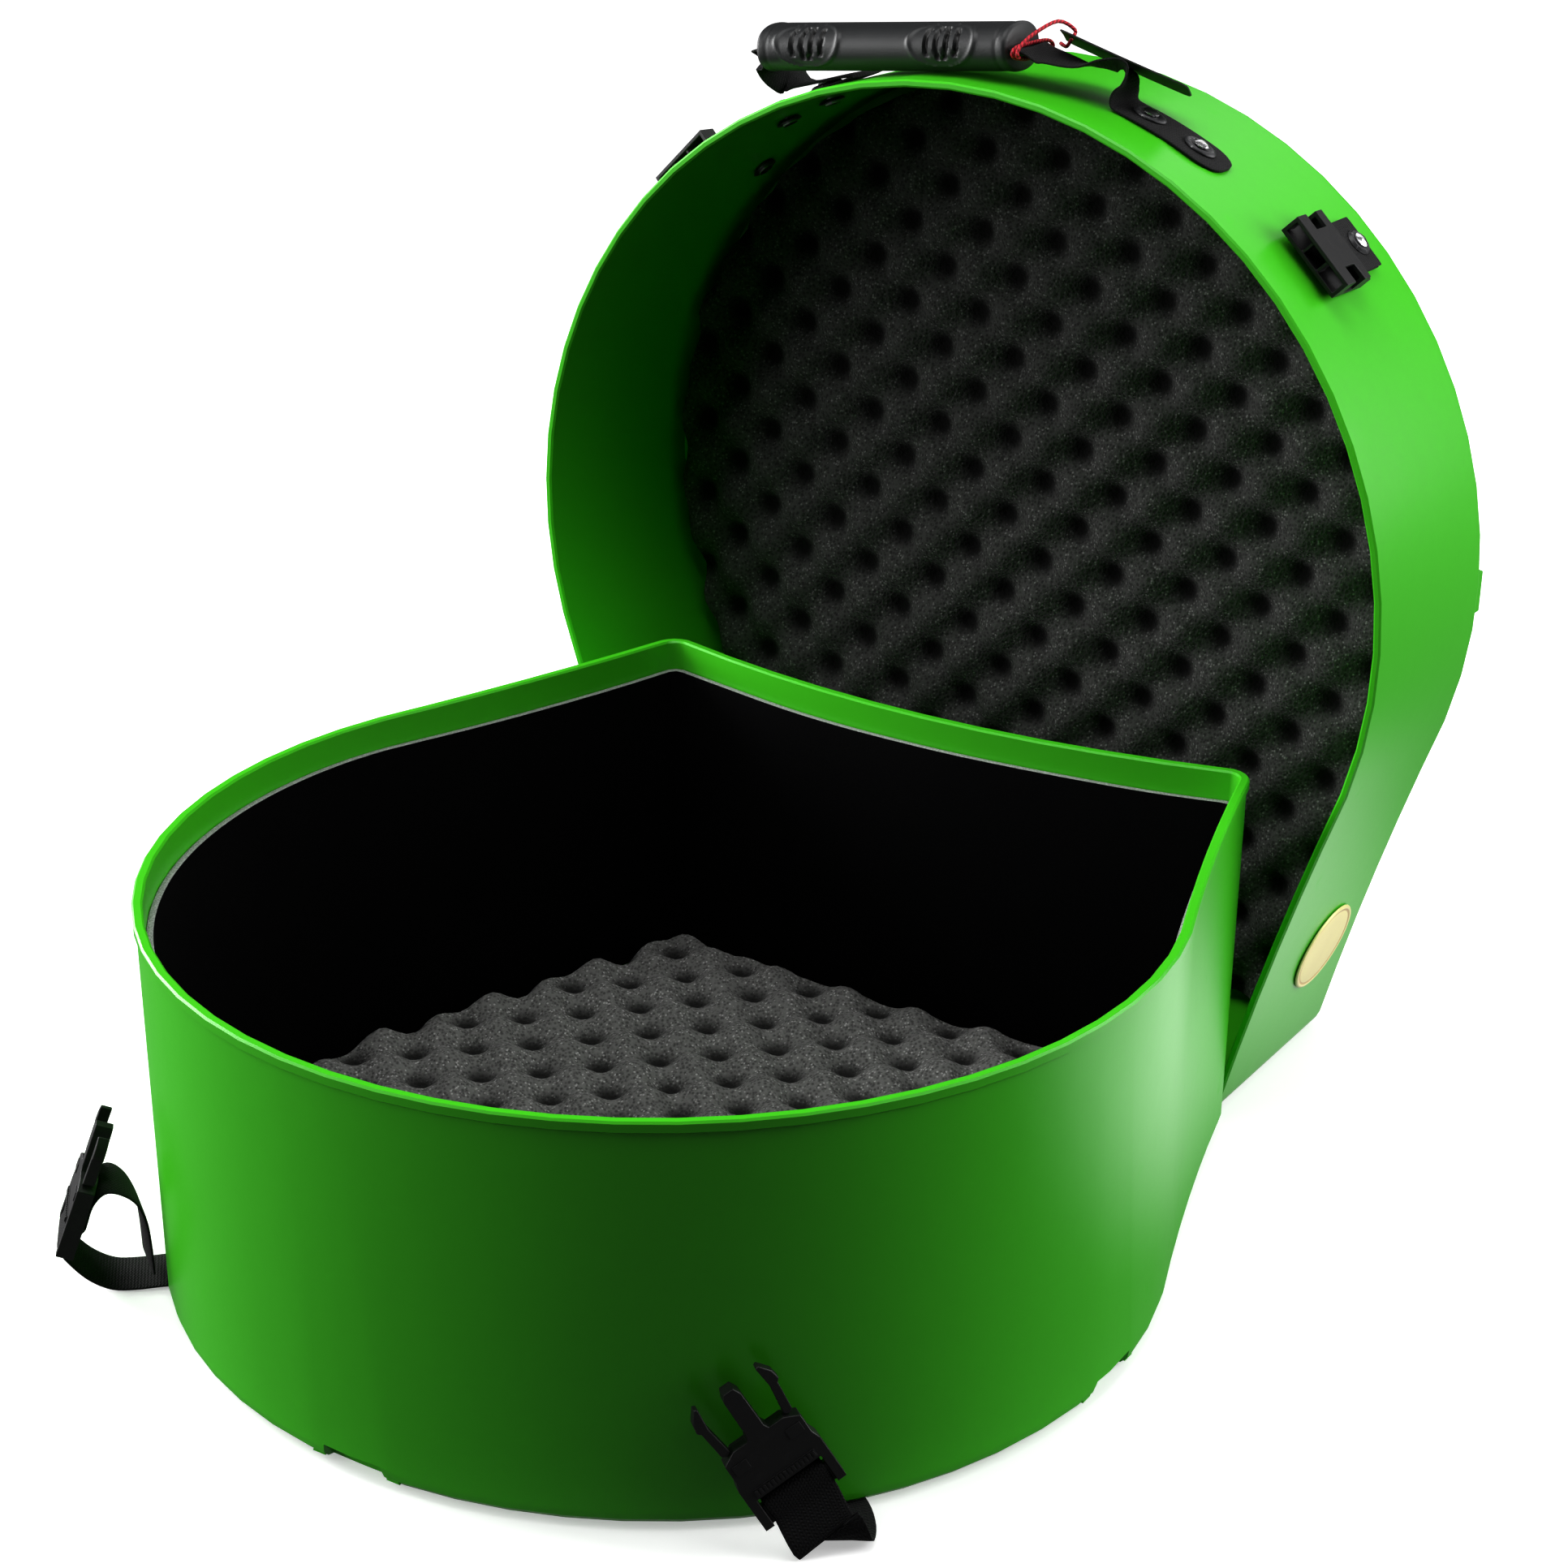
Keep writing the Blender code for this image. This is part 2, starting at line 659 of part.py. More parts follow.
def build_handle(looks, lid, shell):
    """Webbing riveted to the lid at both ends, and the grip that slides on it."""
    tab_height = CLEARANCE + WEBBING_THICKNESS / 2
    across = Vector((0.0, 0.0, 1.0))

    def on_wall(angle, height=tab_height, depth=HANDLE_DEPTH):
        frame = lid_wall_frame(angle, depth)
        return frame @ Vector((0.0, 0.0, height)), frame.to_3x3() @ Vector((0.0, 1.0, 0.0))

    def side_angle(side, share):
        return HANDLE_MIDDLE_ANGLE + side * share

    def over_wall(spot):
        """Station at a distance from the grip's left end, a height off the wall and a depth."""
        sideways, height, depth = spot
        angle = math.degrees(math.asin((in_grip(-0.5).x + sideways) / LID_RADIUS))
        return on_wall(angle, height, depth)

    stations = []
    steps = 8
    for step in range(steps + 1):
        share = HANDLE_TAB_END + (HANDLE_TAB_START - HANDLE_TAB_END) * step / steps
        stations.append(on_wall(side_angle(-1, share)))
    for before, height in FOLD_STATIONS:
        stations.append(on_wall(side_angle(-1, HANDLE_TAB_START - before), height))
    stations += [over_wall(spot) for spot in LEFT_SLACK]
    for offset in LEFT_TURN:
        stations.append((in_grip(-0.5) + lid_point(*offset), across))
    for share in (-0.5, -0.25, 0.0, 0.25, 0.5):
        stations.append((in_grip(share), across))
    tab_spot, tab_across = on_wall(side_angle(1, HANDLE_TAB_START - 1.0), 2 * tab_height)
    slack = [in_grip(0.5) + lid_point(*offset) for offset in SLACK_FROM_GRIP]
    slack += [tab_spot + lid_point(*offset) for offset in SLACK_FROM_TAB]
    twists = [(0.0, 0.0, 1.0), (-0.1, 0.1, 1.0), (-0.25, 0.3, 0.9), (-0.35, 0.4, 0.85),
              (-0.2, 0.2, 0.95), (0.0, 0.0, 1.0)]
    for spot, twist in zip(slack, twists):
        stations.append((spot, Vector(twist)))
    stations.append((tab_spot, tab_across))
    for step in range(steps + 1):
        share = HANDLE_TAB_START + (HANDLE_TAB_END - HANDLE_TAB_START) * step / steps
        stations.append(on_wall(side_angle(1, share)))
    webbing = add_part("handle_webbing", ribbon_mesh(stations, "handle_webbing"),
                       looks["webbing"], lid)

    grip_top = CLEARANCE + WEBBING_THICKNESS
    for side, word in ((-1, "left"), (1, "right")):
        for number, share in enumerate(HANDLE_RIVETS, start=1):
            frame = lid_wall_frame(side_angle(side, share), HANDLE_DEPTH)
            fasten(f"handle_{word}_{number}", looks, frame, lid, [shell, webbing], grip_top, -WALL,
                   inside=True)

    lift = add_empty("handle_lift", in_grip(0.0), lid,
                     Matrix.Rotation(-math.radians(GRIP_SLOPE), 4, "Z"))
    grip = add_part("handle_grip", grip_mesh(), looks["rubber"], lift)
    slot_half = Vector((GRIP_LENGTH, WEBBING_THICKNESS / 2 + 2 * CLEARANCE,
                        WEBBING_WIDTH / 2 + 2 * CLEARANCE))
    boolean(grip, box_mesh(-slot_half, slot_half, "slot"), "DIFFERENCE", Matrix(), lift)
    return lift


def grip_mesh():
    """Oval bar along X with eased ends."""
    def build(bm):
        turn = Matrix.Rotation(math.pi / 2, 4, "Y")
        bmesh.ops.create_cone(bm, cap_ends=True, segments=24, radius1=1.0, radius2=1.0,
                              depth=GRIP_LENGTH, matrix=turn)
        for vert in bm.verts:
            vert.co.y *= GRIP_HALF_HEIGHT
            vert.co.z *= GRIP_HALF_DEPTH
        rims = [edge for edge in bm.edges if abs(edge.verts[0].co.x - edge.verts[1].co.x) < 1e-6]
        bmesh.ops.bevel(bm, geom=rims, offset=GRIP_EDGE, segments=2, profile=0.5,
                        affect="EDGES")

    return mesh_from(build, "handle_grip")


def build_tag(looks, lift):
    """Swing tag, and the cord that loops round the webbing and through the tag's hole."""
    to_lift = (Matrix.Translation(in_grip(0.0))
               @ Matrix.Rotation(-math.radians(GRIP_SLOPE), 4, "Z")).inverted()
    cord = smooth_loop([to_lift @ (in_grip(0.5) + lid_point(*offset)) for offset in CORD_LOOP])
    add_part("tag_cord", tube_mesh(cord, TAG_CORD_RADIUS, "tag_cord"), looks["cord"], lift)

    start = in_grip(0.5) + lid_point(*CARD_START)
    end = in_grip(0.5) + lid_point(*CARD_END)
    along = (end - start).normalized()
    across = Vector((-0.42, 0.42, 0.80))
    across = (across - along * across.dot(along)).normalized()
    frame = Matrix((along, across, along.cross(across))).transposed().to_4x4()
    long, wide = TAG_LENGTH / 2, TAG_WIDTH / 2
    hole_spot = (start + end) / 2 - along * (long - TAG_HOLE_INSET)
    swing = add_empty("tag_swing", to_lift @ hole_spot, lift, to_lift.to_3x3().to_4x4() @ frame)
    edge = [(-long, -wide), (long, -wide), (long, wide), (-long, wide)]
    edge = [(x + long - TAG_HOLE_INSET, y) for x, y in edge]
    hole = [(TAG_HOLE_RADIUS * math.cos(math.pi * step / 6),
             TAG_HOLE_RADIUS * math.sin(math.pi * step / 6)) for step in range(12)]
    add_part("tag_card", plate_mesh([edge, hole], TAG_THICKNESS, "tag_card"), looks["card"],
             swing, smooth=False)


def tube_mesh(points, radius, name):
    """Closed cord loop through points as a POLY curve with a round section."""
    curve = bpy.data.curves.new(name, "CURVE")
    curve.dimensions = "3D"
    curve.bevel_depth = radius
    curve.bevel_resolution = 1
    line = curve.splines.new("POLY")
    line.points.add(len(points) - 1)
    for spot, point in zip(line.points, points):
        spot.co = (*point, 1.0)
    line.use_cyclic_u = True
    thing = place(bpy.data.objects.new(name, curve), CUTTERS)
    mesh = evaluated_mesh(thing)
    bpy.data.objects.remove(thing)
    bm = bmesh.new()
    bm.from_mesh(mesh)
    bmesh.ops.remove_doubles(bm, verts=bm.verts, dist=1e-6)
    bmesh.ops.recalc_face_normals(bm, faces=bm.faces)
    bm.to_mesh(mesh)
    bm.free()
    return mesh


def build_socket(looks, lid, shell, word, side):
    """Socket of a side-release buckle, held by a doubled tab and one rivet."""
    angle = side * SOCKET_ANGLE
    bar_height = CLEARANCE + WEBBING_THICKNESS + CLEARANCE + SOCKET_BAR_RADIUS
    frame = lid_wall_frame(angle, SOCKET_BAR_DEPTH) @ Matrix.Translation((0, 0, bar_height))
    tilt = add_empty(f"socket_{word}_tilt", (0, 0, 0), lid, frame
                     @ Matrix.Rotation(-math.radians(SOCKET_LIFT), 4, "X"))
    low = -bar_height + 2 * CLEARANCE
    high = low + SOCKET_THICKNESS
    wide = SOCKET_HALF_WIDTH
    mouth = -SOCKET_LENGTH
    socket = add_part(f"socket_{word}", box_mesh((-wide, mouth, low), (wide, -0.0035, high), "s"),
                      looks["plastic"], tilt, smooth=False)
    hollow = box_mesh((-wide + SOCKET_SKIN, mouth - 0.01, low + SOCKET_SKIN),
                      (wide - SOCKET_SKIN, -0.0075, high - SOCKET_SKIN), "hollow")
    boolean(socket, hollow, "DIFFERENCE", Matrix(), tilt)
    for end in (-1, 1):
        window = box_mesh((0.0095, -0.0215, low + SOCKET_SKIN), (0.03, -0.0105, high + 0.01), "w")
        boolean(socket, window, "DIFFERENCE", Matrix.Diagonal((end, 1, 1, 1)), tilt)
        cheek = box_mesh((0.0132, -0.006, low), (wide, 0.003, low + 0.0062), "cheek")
        boolean(socket, cheek, "UNION", Matrix.Diagonal((end, 1, 1, 1)), tilt)
        rib = box_mesh((0.0042, mouth + 0.0005, low + SOCKET_SKIN / 2),
                       (0.0054, mouth + 0.009, high - SOCKET_SKIN / 2), "rib")
        boolean(socket, rib, "UNION", Matrix.Diagonal((end, 1, 1, 1)), tilt)
    rod = rod_mesh(SOCKET_BAR_RADIUS, (-wide + 0.001, 0, 0), (wide - 0.001, 0, 0), "bar")
    boolean(socket, rod, "UNION", Matrix(), tilt)

    wrap = SOCKET_BAR_RADIUS + CLEARANCE + WEBBING_THICKNESS / 2
    across = Vector((1.0, 0.0, 0.0))
    flat = SOCKET_TAB_LENGTH
    low_layer = -wrap
    high_layer = low_layer + WEBBING_THICKNESS + CLEARANCE
    stations = [((0, flat, low_layer), across), ((0, flat / 2, low_layer), across),
                ((0, 0.005, low_layer), across)]
    for step in range(7):
        turn = math.radians(-90 - 30 * step)
        stations.append(((0, wrap * math.cos(turn), wrap * math.sin(turn)), across))
    stations += [((0, 0.005, wrap * 0.75), across), ((0, 0.0105, high_layer + 0.0007), across),
                 ((0, 0.014, high_layer), across), ((0, flat, high_layer), across)]
    tab = add_part(f"socket_{word}_tab", ribbon_mesh(stations, "tab"), looks["webbing"], lid, frame)
    tab_top = 2 * (CLEARANCE + WEBBING_THICKNESS)
    rivet_frame = lid_wall_frame(angle, SOCKET_BAR_DEPTH + SOCKET_RIVET_BEHIND)
    fasten(f"socket_{word}", looks, rivet_frame, lid, [shell, tab], tab_top, -WALL, inside=True)


def plug_outline():
    """Frame with side rails, shoulders and a middle prong; open below the webbing slot."""
    rail = PLUG_HALF_WIDTH - 0.0035
    slot_top = PLUG_BAR_HIGH + PLUG_SLOT
    right = [(PLUG_HALF_WIDTH, -PLUG_BAR_LOW), (PLUG_HALF_WIDTH, 0.014),
             (PLUG_HALF_WIDTH - 0.0012, 0.0175), (PLUG_HALF_WIDTH - 0.0012, PLUG_SHOULDER - 0.003),
             (0.0105, PLUG_SHOULDER), (0.0046, PLUG_SHOULDER), (0.0036, PLUG_SHOULDER + 0.002),
             (0.0034, PLUG_LENGTH - 0.005), (0.0020, PLUG_LENGTH - 0.002)]
    left = [(-x, y) for x, y in reversed(right)]
    slot = [(-rail, -PLUG_BAR_LOW), (-rail, slot_top), (rail, slot_top), (rail, -PLUG_BAR_LOW)]
    return right + left + slot


def latch_outline():
    """Springy side prong with its catch, from its root; it flexes about the origin."""
    return [(0.0, 0.0), (0.0019, 0.0011), (0.0030, 0.0125), (0.0042, 0.0138), (0.0036, 0.0175),
            (0.0004, 0.0220), (-0.0008, 0.0214), (0.0000, 0.0130), (-0.0016, 0.0011)]


def build_strap(looks, shell, foam, word, plug_spot, plug_turn, floor_run, tail_run):
    """Strap riveted under the base, run through its plug, with the plug's two latch prongs."""
    wall = base_wall_frame(STRAP_ANGLES[word])
    flat = wall @ Matrix.Rotation(-BASE_SLOPE, 4, "X")
    plug = flat @ Matrix.Translation(plug_spot) @ plug_turn
    wide = Vector((1.0, 0.0, 0.0))
    plug_wide = plug.to_3x3() @ wide
    flat_wide = flat.to_3x3() @ wide

    lay = CLEARANCE + WEBBING_THICKNESS / 2
    under = RECESS_DEPTH - lay
    stations = [(flat @ Vector((0, under, -back)), flat_wide)
                for back in (STRAP_UNDER, STRAP_UNDER * 0.6, STRAP_UNDER * 0.25)]
    stations += [(flat @ Vector(spot), flat_wide.lerp(plug_wide, share))
                 for spot, share in floor_run]
    outer = PLUG_BAR_THICKNESS / 2 + lay
    back = -(PLUG_THICKNESS / 2 + lay)
    slot_middle = PLUG_BAR_HIGH + PLUG_SLOT / 2
    body_low = PLUG_BAR_HIGH + PLUG_SLOT
    wrap = [(-PLUG_BAR_LOW, outer), (0.0, outer), (PLUG_BAR_HIGH, outer + CLEARANCE / 2),
            (slot_middle - CLEARANCE, outer * 0.6), (slot_middle, 0.0),
            (slot_middle, back * 0.75), (body_low - CLEARANCE, back), (body_low + 0.0025, back),
            (PLUG_SHOULDER * 0.65, back)]
    stations += [(plug @ Vector((0.0, up, out)), plug_wide) for up, out in wrap]
    stations += [(flat @ Vector(spot), plug_wide.lerp(flat_wide, share))
                 for spot, share in tail_run]
    webbing = add_part(f"strap_{word}_webbing", ribbon_mesh(stations, "strap"), looks["webbing"])

    recess_half = WEBBING_WIDTH / 2 + RECESS_SIDE
    recess = box_mesh((-recess_half, -0.01, -STRAP_UNDER - RECESS_SIDE),
                      (recess_half, RECESS_DEPTH, 0.01), "recess")
    boolean(shell, recess, "DIFFERENCE", flat)
    head_low = CLEARANCE / 2
    rivet_spot = flat @ Matrix.Translation((0, 0, -STRAP_RIVET_BACK)) @ Matrix.Rotation(
        math.pi / 2, 4, "X")
    head_top = head_low + 0.0005
    tail = FLOOR_THICKNESS + CLEARANCE
    profile = [(0.0, -head_low), (RIVET_HEAD, -head_low), (RIVET_HEAD, -head_top),
               (RIVET_SHANK, -head_top), (RIVET_SHANK, -tail), (RIVET_HEAD, -tail),
               (RIVET_HEAD, -tail - RIVET_FLANGE), (0.0, -tail - RIVET_FLANGE)]
    add_part(f"strap_{word}_rivet", turned_mesh(profile, "rivet"), looks["steel"], None, rivet_spot)
    cut_hole(shell, rivet_spot, 0.001, -0.01)
    cut_hole(webbing, rivet_spot, 0.001, -0.01)
    cut_hole(foam, rivet_spot, 0.0, -tail - RIVET_FLANGE - CLEARANCE,
             radius=RIVET_HEAD + CLEARANCE)

    lift = add_empty(f"plug_{word}_lift", (0, 0, 0), None, plug)
    body = add_part(f"strap_{word}_plug", plate_mesh([plug_outline()], PLUG_THICKNESS, "plug"),
                    looks["plastic"], lift, smooth=False)
    half = PLUG_HALF_WIDTH - 0.001
    bar = box_mesh((-half, -PLUG_BAR_LOW + 0.0003, -PLUG_BAR_THICKNESS / 2),
                   (half, PLUG_BAR_HIGH, PLUG_BAR_THICKNESS / 2), "bar")
    boolean(body, bar, "UNION", Matrix(), lift)
    for side, number in ((-1, 1), (1, 2)):
        root = Matrix.Translation((side * 0.0129, PLUG_SHOULDER - 0.0009, 0))
        flex = add_empty(f"latch_{word}_{number}_flex", (0, 0, 0), lift, root)
        points = [(side * x, y) for x, y in latch_outline()]
        add_part(f"strap_{word}_latch_{number}", plate_mesh([points], PRONG_THICKNESS, "latch"),
                 looks["plastic"], flex, smooth=False)


def build_straps(looks, shell, foam):
    left_spot = Vector((0.0, 0.024, 0.037))
    left_turn = Matrix.Rotation(math.radians(-20.5), 4, "X")
    left_floor = [((0.0, 0.0016, 0.002), 0.0), ((0.0, 0.0011, 0.012), 0.0),
                  ((0.0, 0.0018, 0.021), 0.0), ((0.0, 0.0060, 0.029), 0.2),
                  ((0.0, 0.0125, 0.0355), 0.6)]
    left_tail = [((0.0, 0.0455, 0.0205), 0.3), ((0.0, 0.0458, 0.0145), 0.6),
                 ((0.0, 0.0410, 0.0080), 1.0), ((0.0, 0.0330, 0.0038), 1.0),
                 ((0.0, 0.0220, 0.0026), 1.0), ((0.0, 0.0080, 0.0018), 1.0)]
    build_strap(looks, shell, foam, "left", left_spot, left_turn, left_floor, left_tail)
    right_spot = Vector((-0.019, 0.0228, 0.013))
    right_turn = (Matrix.Rotation(math.radians(30.0), 4, "Z")
                  @ Matrix.Rotation(math.radians(-10.0), 4, "X"))
    right_floor = [((0.0, 0.0016, 0.002), 0.0), ((-0.002, 0.0011, 0.011), 0.0),
                   ((-0.007, 0.0022, 0.0195), 0.15), ((-0.0125, 0.0085, 0.0215), 0.6)]
    build_strap(looks, shell, foam, "right", right_spot, right_turn, right_floor, [])


def build_badge(looks, lid):
    """Blank oval badge on the lid's straight side."""
    angle = side_normal_angle(BASE_RADIUS, BASE_FLAT_END + LID_EXTRA_LENGTH, CORNER_HALF_WIDTH)
    out = Vector((math.cos(angle), math.sin(angle), 0.0))
    along = Vector((-math.sin(angle), math.cos(angle), 0.0))
    up = Vector((0.0, 0.0, 1.0))
    length = LID_FLAT_END / math.cos(angle) - LID_RADIUS * math.tan(angle)
    travel = (BADGE_ALONG - LID_RADIUS * math.sin(angle)) / math.cos(angle)
    share = travel / length
    hollow = SIDE_HOLLOW * 4 * share * (1 - share)
    radius = LID_RADIUS - LID_DRAFT * BADGE_DEPTH / LID_DEPTH - hollow
    spot = out * (radius + 2 * CLEARANCE + BADGE_THICKNESS / 2) + along * travel + up * BADGE_DEPTH
    frame = Matrix((along, up, out)).transposed().to_4x4()
    hollow_slope = math.atan(SIDE_HOLLOW * 4 * (1 - 2 * share) / length)
    matrix = (Matrix.Translation(spot) @ frame @ Matrix.Rotation(hollow_slope, 4, "Y")
              @ Matrix.Rotation(-LID_LEAN, 4, "X"))
    steps = 24
    oval = [(BADGE_HEIGHT / 2 * math.cos(2 * math.pi * step / steps),
             BADGE_WIDTH / 2 * math.sin(2 * math.pi * step / steps)) for step in range(steps)]
    add_part("lid_badge", plate_mesh([oval], BADGE_THICKNESS, "badge"), looks["gold"], lid, matrix,
             smooth=False)


def make_looks():
    return {
        "shell": material("lime_polyethylene", (0.06, 0.52, 0.02), 0.38),
        "lining": material("black_lining", (0.012, 0.012, 0.013), 0.95),
        "foam": material("charcoal_foam", (0.03, 0.03, 0.032), 0.98),
        "webbing": material("black_webbing", (0.015, 0.015, 0.016), 0.85),
        "plastic": material("black_acetal", (0.02, 0.02, 0.022), 0.4),
        "rubber": material("dark_grip_rubber", (0.045, 0.047, 0.05), 0.55),
        "washer": material("dark_washer", (0.05, 0.05, 0.055), 0.4, 0.6),
        "steel": material("bright_rivet", (0.75, 0.75, 0.77), 0.22, 1.0),
        "gold": material("pale_gold_badge", (0.85, 0.62, 0.28), 0.35, 0.3),
        "cord": material("red_cord", (0.6, 0.01, 0.03), 0.6),
        "card": material("black_card", (0.02, 0.02, 0.02), 0.5),
    }


def main():
    looks = make_looks()
    base_shell, base_foam = build_base(looks)
    build_straps(looks, base_shell, base_foam)
    lid = build_lid_frames()
    lid_shell = build_lid(looks, lid)
    lift = build_handle(looks, lid, lid_shell)
    build_tag(looks, lift)
    build_socket(looks, lid, lid_shell, "left", -1)
    build_socket(looks, lid, lid_shell, "right", 1)
    build_badge(looks, lid)


clear_scene()
PARTS = new_collection("snare_drum_case")
CUTTERS = new_collection("cutters", hidden=True)
main()
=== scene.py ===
"""Snare drum case, dressed: finishes for its moulded pieces, and soft pieces with their detail."""

import math

import bmesh
import bpy
from bpy.props import FloatProperty, FloatVectorProperty, IntProperty, PointerProperty
from mathutils import Matrix, Vector, noise


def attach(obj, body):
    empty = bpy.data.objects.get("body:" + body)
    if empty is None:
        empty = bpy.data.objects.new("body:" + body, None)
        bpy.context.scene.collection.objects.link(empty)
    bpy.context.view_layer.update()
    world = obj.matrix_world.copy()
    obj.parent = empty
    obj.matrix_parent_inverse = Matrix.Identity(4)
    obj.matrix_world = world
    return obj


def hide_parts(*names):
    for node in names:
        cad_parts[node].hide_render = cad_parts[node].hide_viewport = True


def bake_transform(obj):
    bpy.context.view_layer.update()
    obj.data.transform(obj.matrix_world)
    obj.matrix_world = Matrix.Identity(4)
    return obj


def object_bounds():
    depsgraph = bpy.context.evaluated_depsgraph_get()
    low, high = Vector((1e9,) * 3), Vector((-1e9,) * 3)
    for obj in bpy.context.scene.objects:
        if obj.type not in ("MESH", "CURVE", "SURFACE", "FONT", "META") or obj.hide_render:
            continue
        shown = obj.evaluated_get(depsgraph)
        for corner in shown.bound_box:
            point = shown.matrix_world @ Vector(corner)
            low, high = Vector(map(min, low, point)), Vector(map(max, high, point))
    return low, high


bl_info = {
    "name": "Snare Drum Case",
    "version": (1, 0, 0),
    "blender": (4, 5, 0),
    "location": "View3D > Sidebar > Drum Case",
    "description": "Dresses the snare drum case: shells, foam, straps, buckles, handle and stage",
    "category": "Object",
}

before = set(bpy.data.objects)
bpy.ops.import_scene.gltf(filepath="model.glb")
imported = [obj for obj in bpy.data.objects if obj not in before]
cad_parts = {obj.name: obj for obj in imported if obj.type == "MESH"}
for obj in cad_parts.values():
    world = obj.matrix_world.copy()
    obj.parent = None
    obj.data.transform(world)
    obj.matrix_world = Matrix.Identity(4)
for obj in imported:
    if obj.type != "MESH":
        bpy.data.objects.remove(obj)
CAD_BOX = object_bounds()

# Shading of faces that meet at an angle
MERGE_DISTANCE = 0.000002
CREASE_ANGLE = math.radians(28)
EASED_ANGLE = math.radians(35)
SHARP_ANGLE = math.radians(50)
FOAM_SHARP_ANGLE = math.radians(60)

# Plan and shells of the case
BASE_RADIUS = 0.205
BASE_FLAT_END = 0.2152
CORNER_HALF_WIDTH = 0.1461
CORNER_RADIUS = 0.0105
SIDE_HOLLOW = 0.0019
BASE_END_HOLLOW = 0.0188
HOLLOW_SHARE_AT_FLOOR = 0.3
BASE_HEIGHT = 0.165
BASE_DRAFT = 0.0029
WALL = 0.0033
FLOOR_THICKNESS = 0.0045
EDGE_RADIUS = 0.008
CLEARANCE = 0.0003
LID_OFFSET = WALL + 0.0012
LID_EXTRA_LENGTH = 0.0057
LID_DEPTH = 0.1153
LID_DRAFT = 0.0024
LID_END_HOLLOW = 0.0041
LID_RADIUS = BASE_RADIUS + LID_OFFSET
LID_FLAT_END = BASE_FLAT_END + LID_EXTRA_LENGTH + LID_OFFSET
LID_LEAN = math.atan2(LID_DRAFT, LID_DEPTH)
BASE_SLOPE = math.atan2(BASE_DRAFT, BASE_HEIGHT)

# Points along half of the plan, before they are spaced evenly
END_STEPS = 24
CORNER_STEPS = 8
SIDE_STEPS = 16
ROUND_STEPS = 96
LEAST_FILLET = 0.001

# The standing lid: the middle of its rim, and how far it is turned from lying on the base
LID_RIM_CENTRE = (-0.0107, 0.217491, 0.225351)
LID = Matrix.Translation(LID_RIM_CENTRE) @ Matrix.Rotation(-math.pi / 2 - LID_LEAN, 4, "X")

# Lining, foam and webbing
LINING_THICKNESS = 0.003
LINING_LOW = 0.0136
LINING_HIGH = BASE_HEIGHT - 0.0129
LINING_EDGE = 0.0002
LINING_WAVE = 0.0009
LINING_WAVE_DROP = 0.0004
FOAM_BASE = 0.010
FOAM_RELIEF = 0.012
FOAM_MARGIN = 0.002
FOAM_MIDDLE = (BASE_FLAT_END - BASE_RADIUS) / 2
FOAM_WANDER = 0.0012
FOAM_SINK = 0.0008
FOAM_ROUND_OVER = 0.0012
# Share of the painted highlight specks kept on the lid's shaded foam.
LID_PAINTED_GLINT_SHARE = 0.45
WEBBING_WIDTH = 0.025
WEBBING_THICKNESS = 0.0013
WEBBING_END_TAPER = 0.36

# Handle
HANDLE_MIDDLE_ANGLE = -2.0
HANDLE_TAB_START = 19.5
HANDLE_TAB_END = 33.0
HANDLE_RIVETS = (22.0, 29.0)
SIDES = {"left": -1, "right": 1}
HANDLE_DEPTH = 0.042
GRIP_CENTRE = (-0.0415, 0.2163, 0.026)
GRIP_SLOPE = math.radians(6.2)
GRIP_LENGTH = 0.1237
GRIP_HALF_DEPTH = 0.015
GRIP_HALF_HEIGHT = 0.010
GRIP_RINGS = (-0.036, 0.0305)
GRIP_FACING = 70
RING_HALF_LENGTH = 0.0168
RING_HALF_WIDTH = 0.0122
SLOT_OFFSETS = (-0.0075, -0.0025, 0.0025, 0.0075)
SLOT_BOW = 0.0011
SLOT_HALF_WIDTH = 0.00115
CUP_LONG_REACH = 0.0088
CUP_SHORT_REACH = 0.0060
CUP_HOLE = 0.44

# Buckles
SOCKET_ANGLE = 45.5
SOCKET_BAR_DEPTH = 0.062
SOCKET_BAR_RADIUS = 0.0016
SOCKET_TAB_END = 0.090
STRAP_ANGLES = {"left": -48.7, "right": 51.8}
PLUG_PLACES = {"left": ((0.0, 0.024, 0.037), 0.0, -20.5),
               "right": ((-0.019, 0.0228, 0.013), 30.0, -10.0)}
STRAP_UNDER = 0.034
RECESS_DEPTH = 0.0026
PLUG_THICKNESS = 0.007
PLUG_BAR_LOW = 0.0045
PLUG_BAR_HIGH = 0.0035
PLUG_BAR_THICKNESS = 0.003
PLUG_SLOT = 0.004
PLUG_SHOULDER = 0.028
TAIL_TURN = math.radians(12)
TEETH_SPAN = 0.0238
TOOTH_WIDTH = 0.0011
PLUG_PAD_PLACE = 0.0112

# Badge and swing tag
BADGE_WIDTH = 0.050
BADGE_HEIGHT = 0.040
BADGE_DEPTH = 0.067
BADGE_ALONG = 0.163
TAG_LENGTH = 0.058
TAG_WIDTH = 0.026
TAG_THICKNESS = 0.0006
TAG_HOLE_INSET = 0.004
TAG_HOLE_RADIUS = 0.0016
TAG_CORNER = 0.003
TAG_CURL = 0.0010
TAG_CORD_RADIUS = 0.0008
TAG_TURN = math.radians(7)

# Camera, measured from the photograph
CAMERA_PLACE = (0.70433, -1.00330, 0.71756)
CAMERA_YAW = -33.0594
CAMERA_PITCH = 21.9594
CAMERA_ROLL = 0.2693
CAMERA_SHIFT = (0.003745, -0.033964)
FILM_WIDTH = 36.0

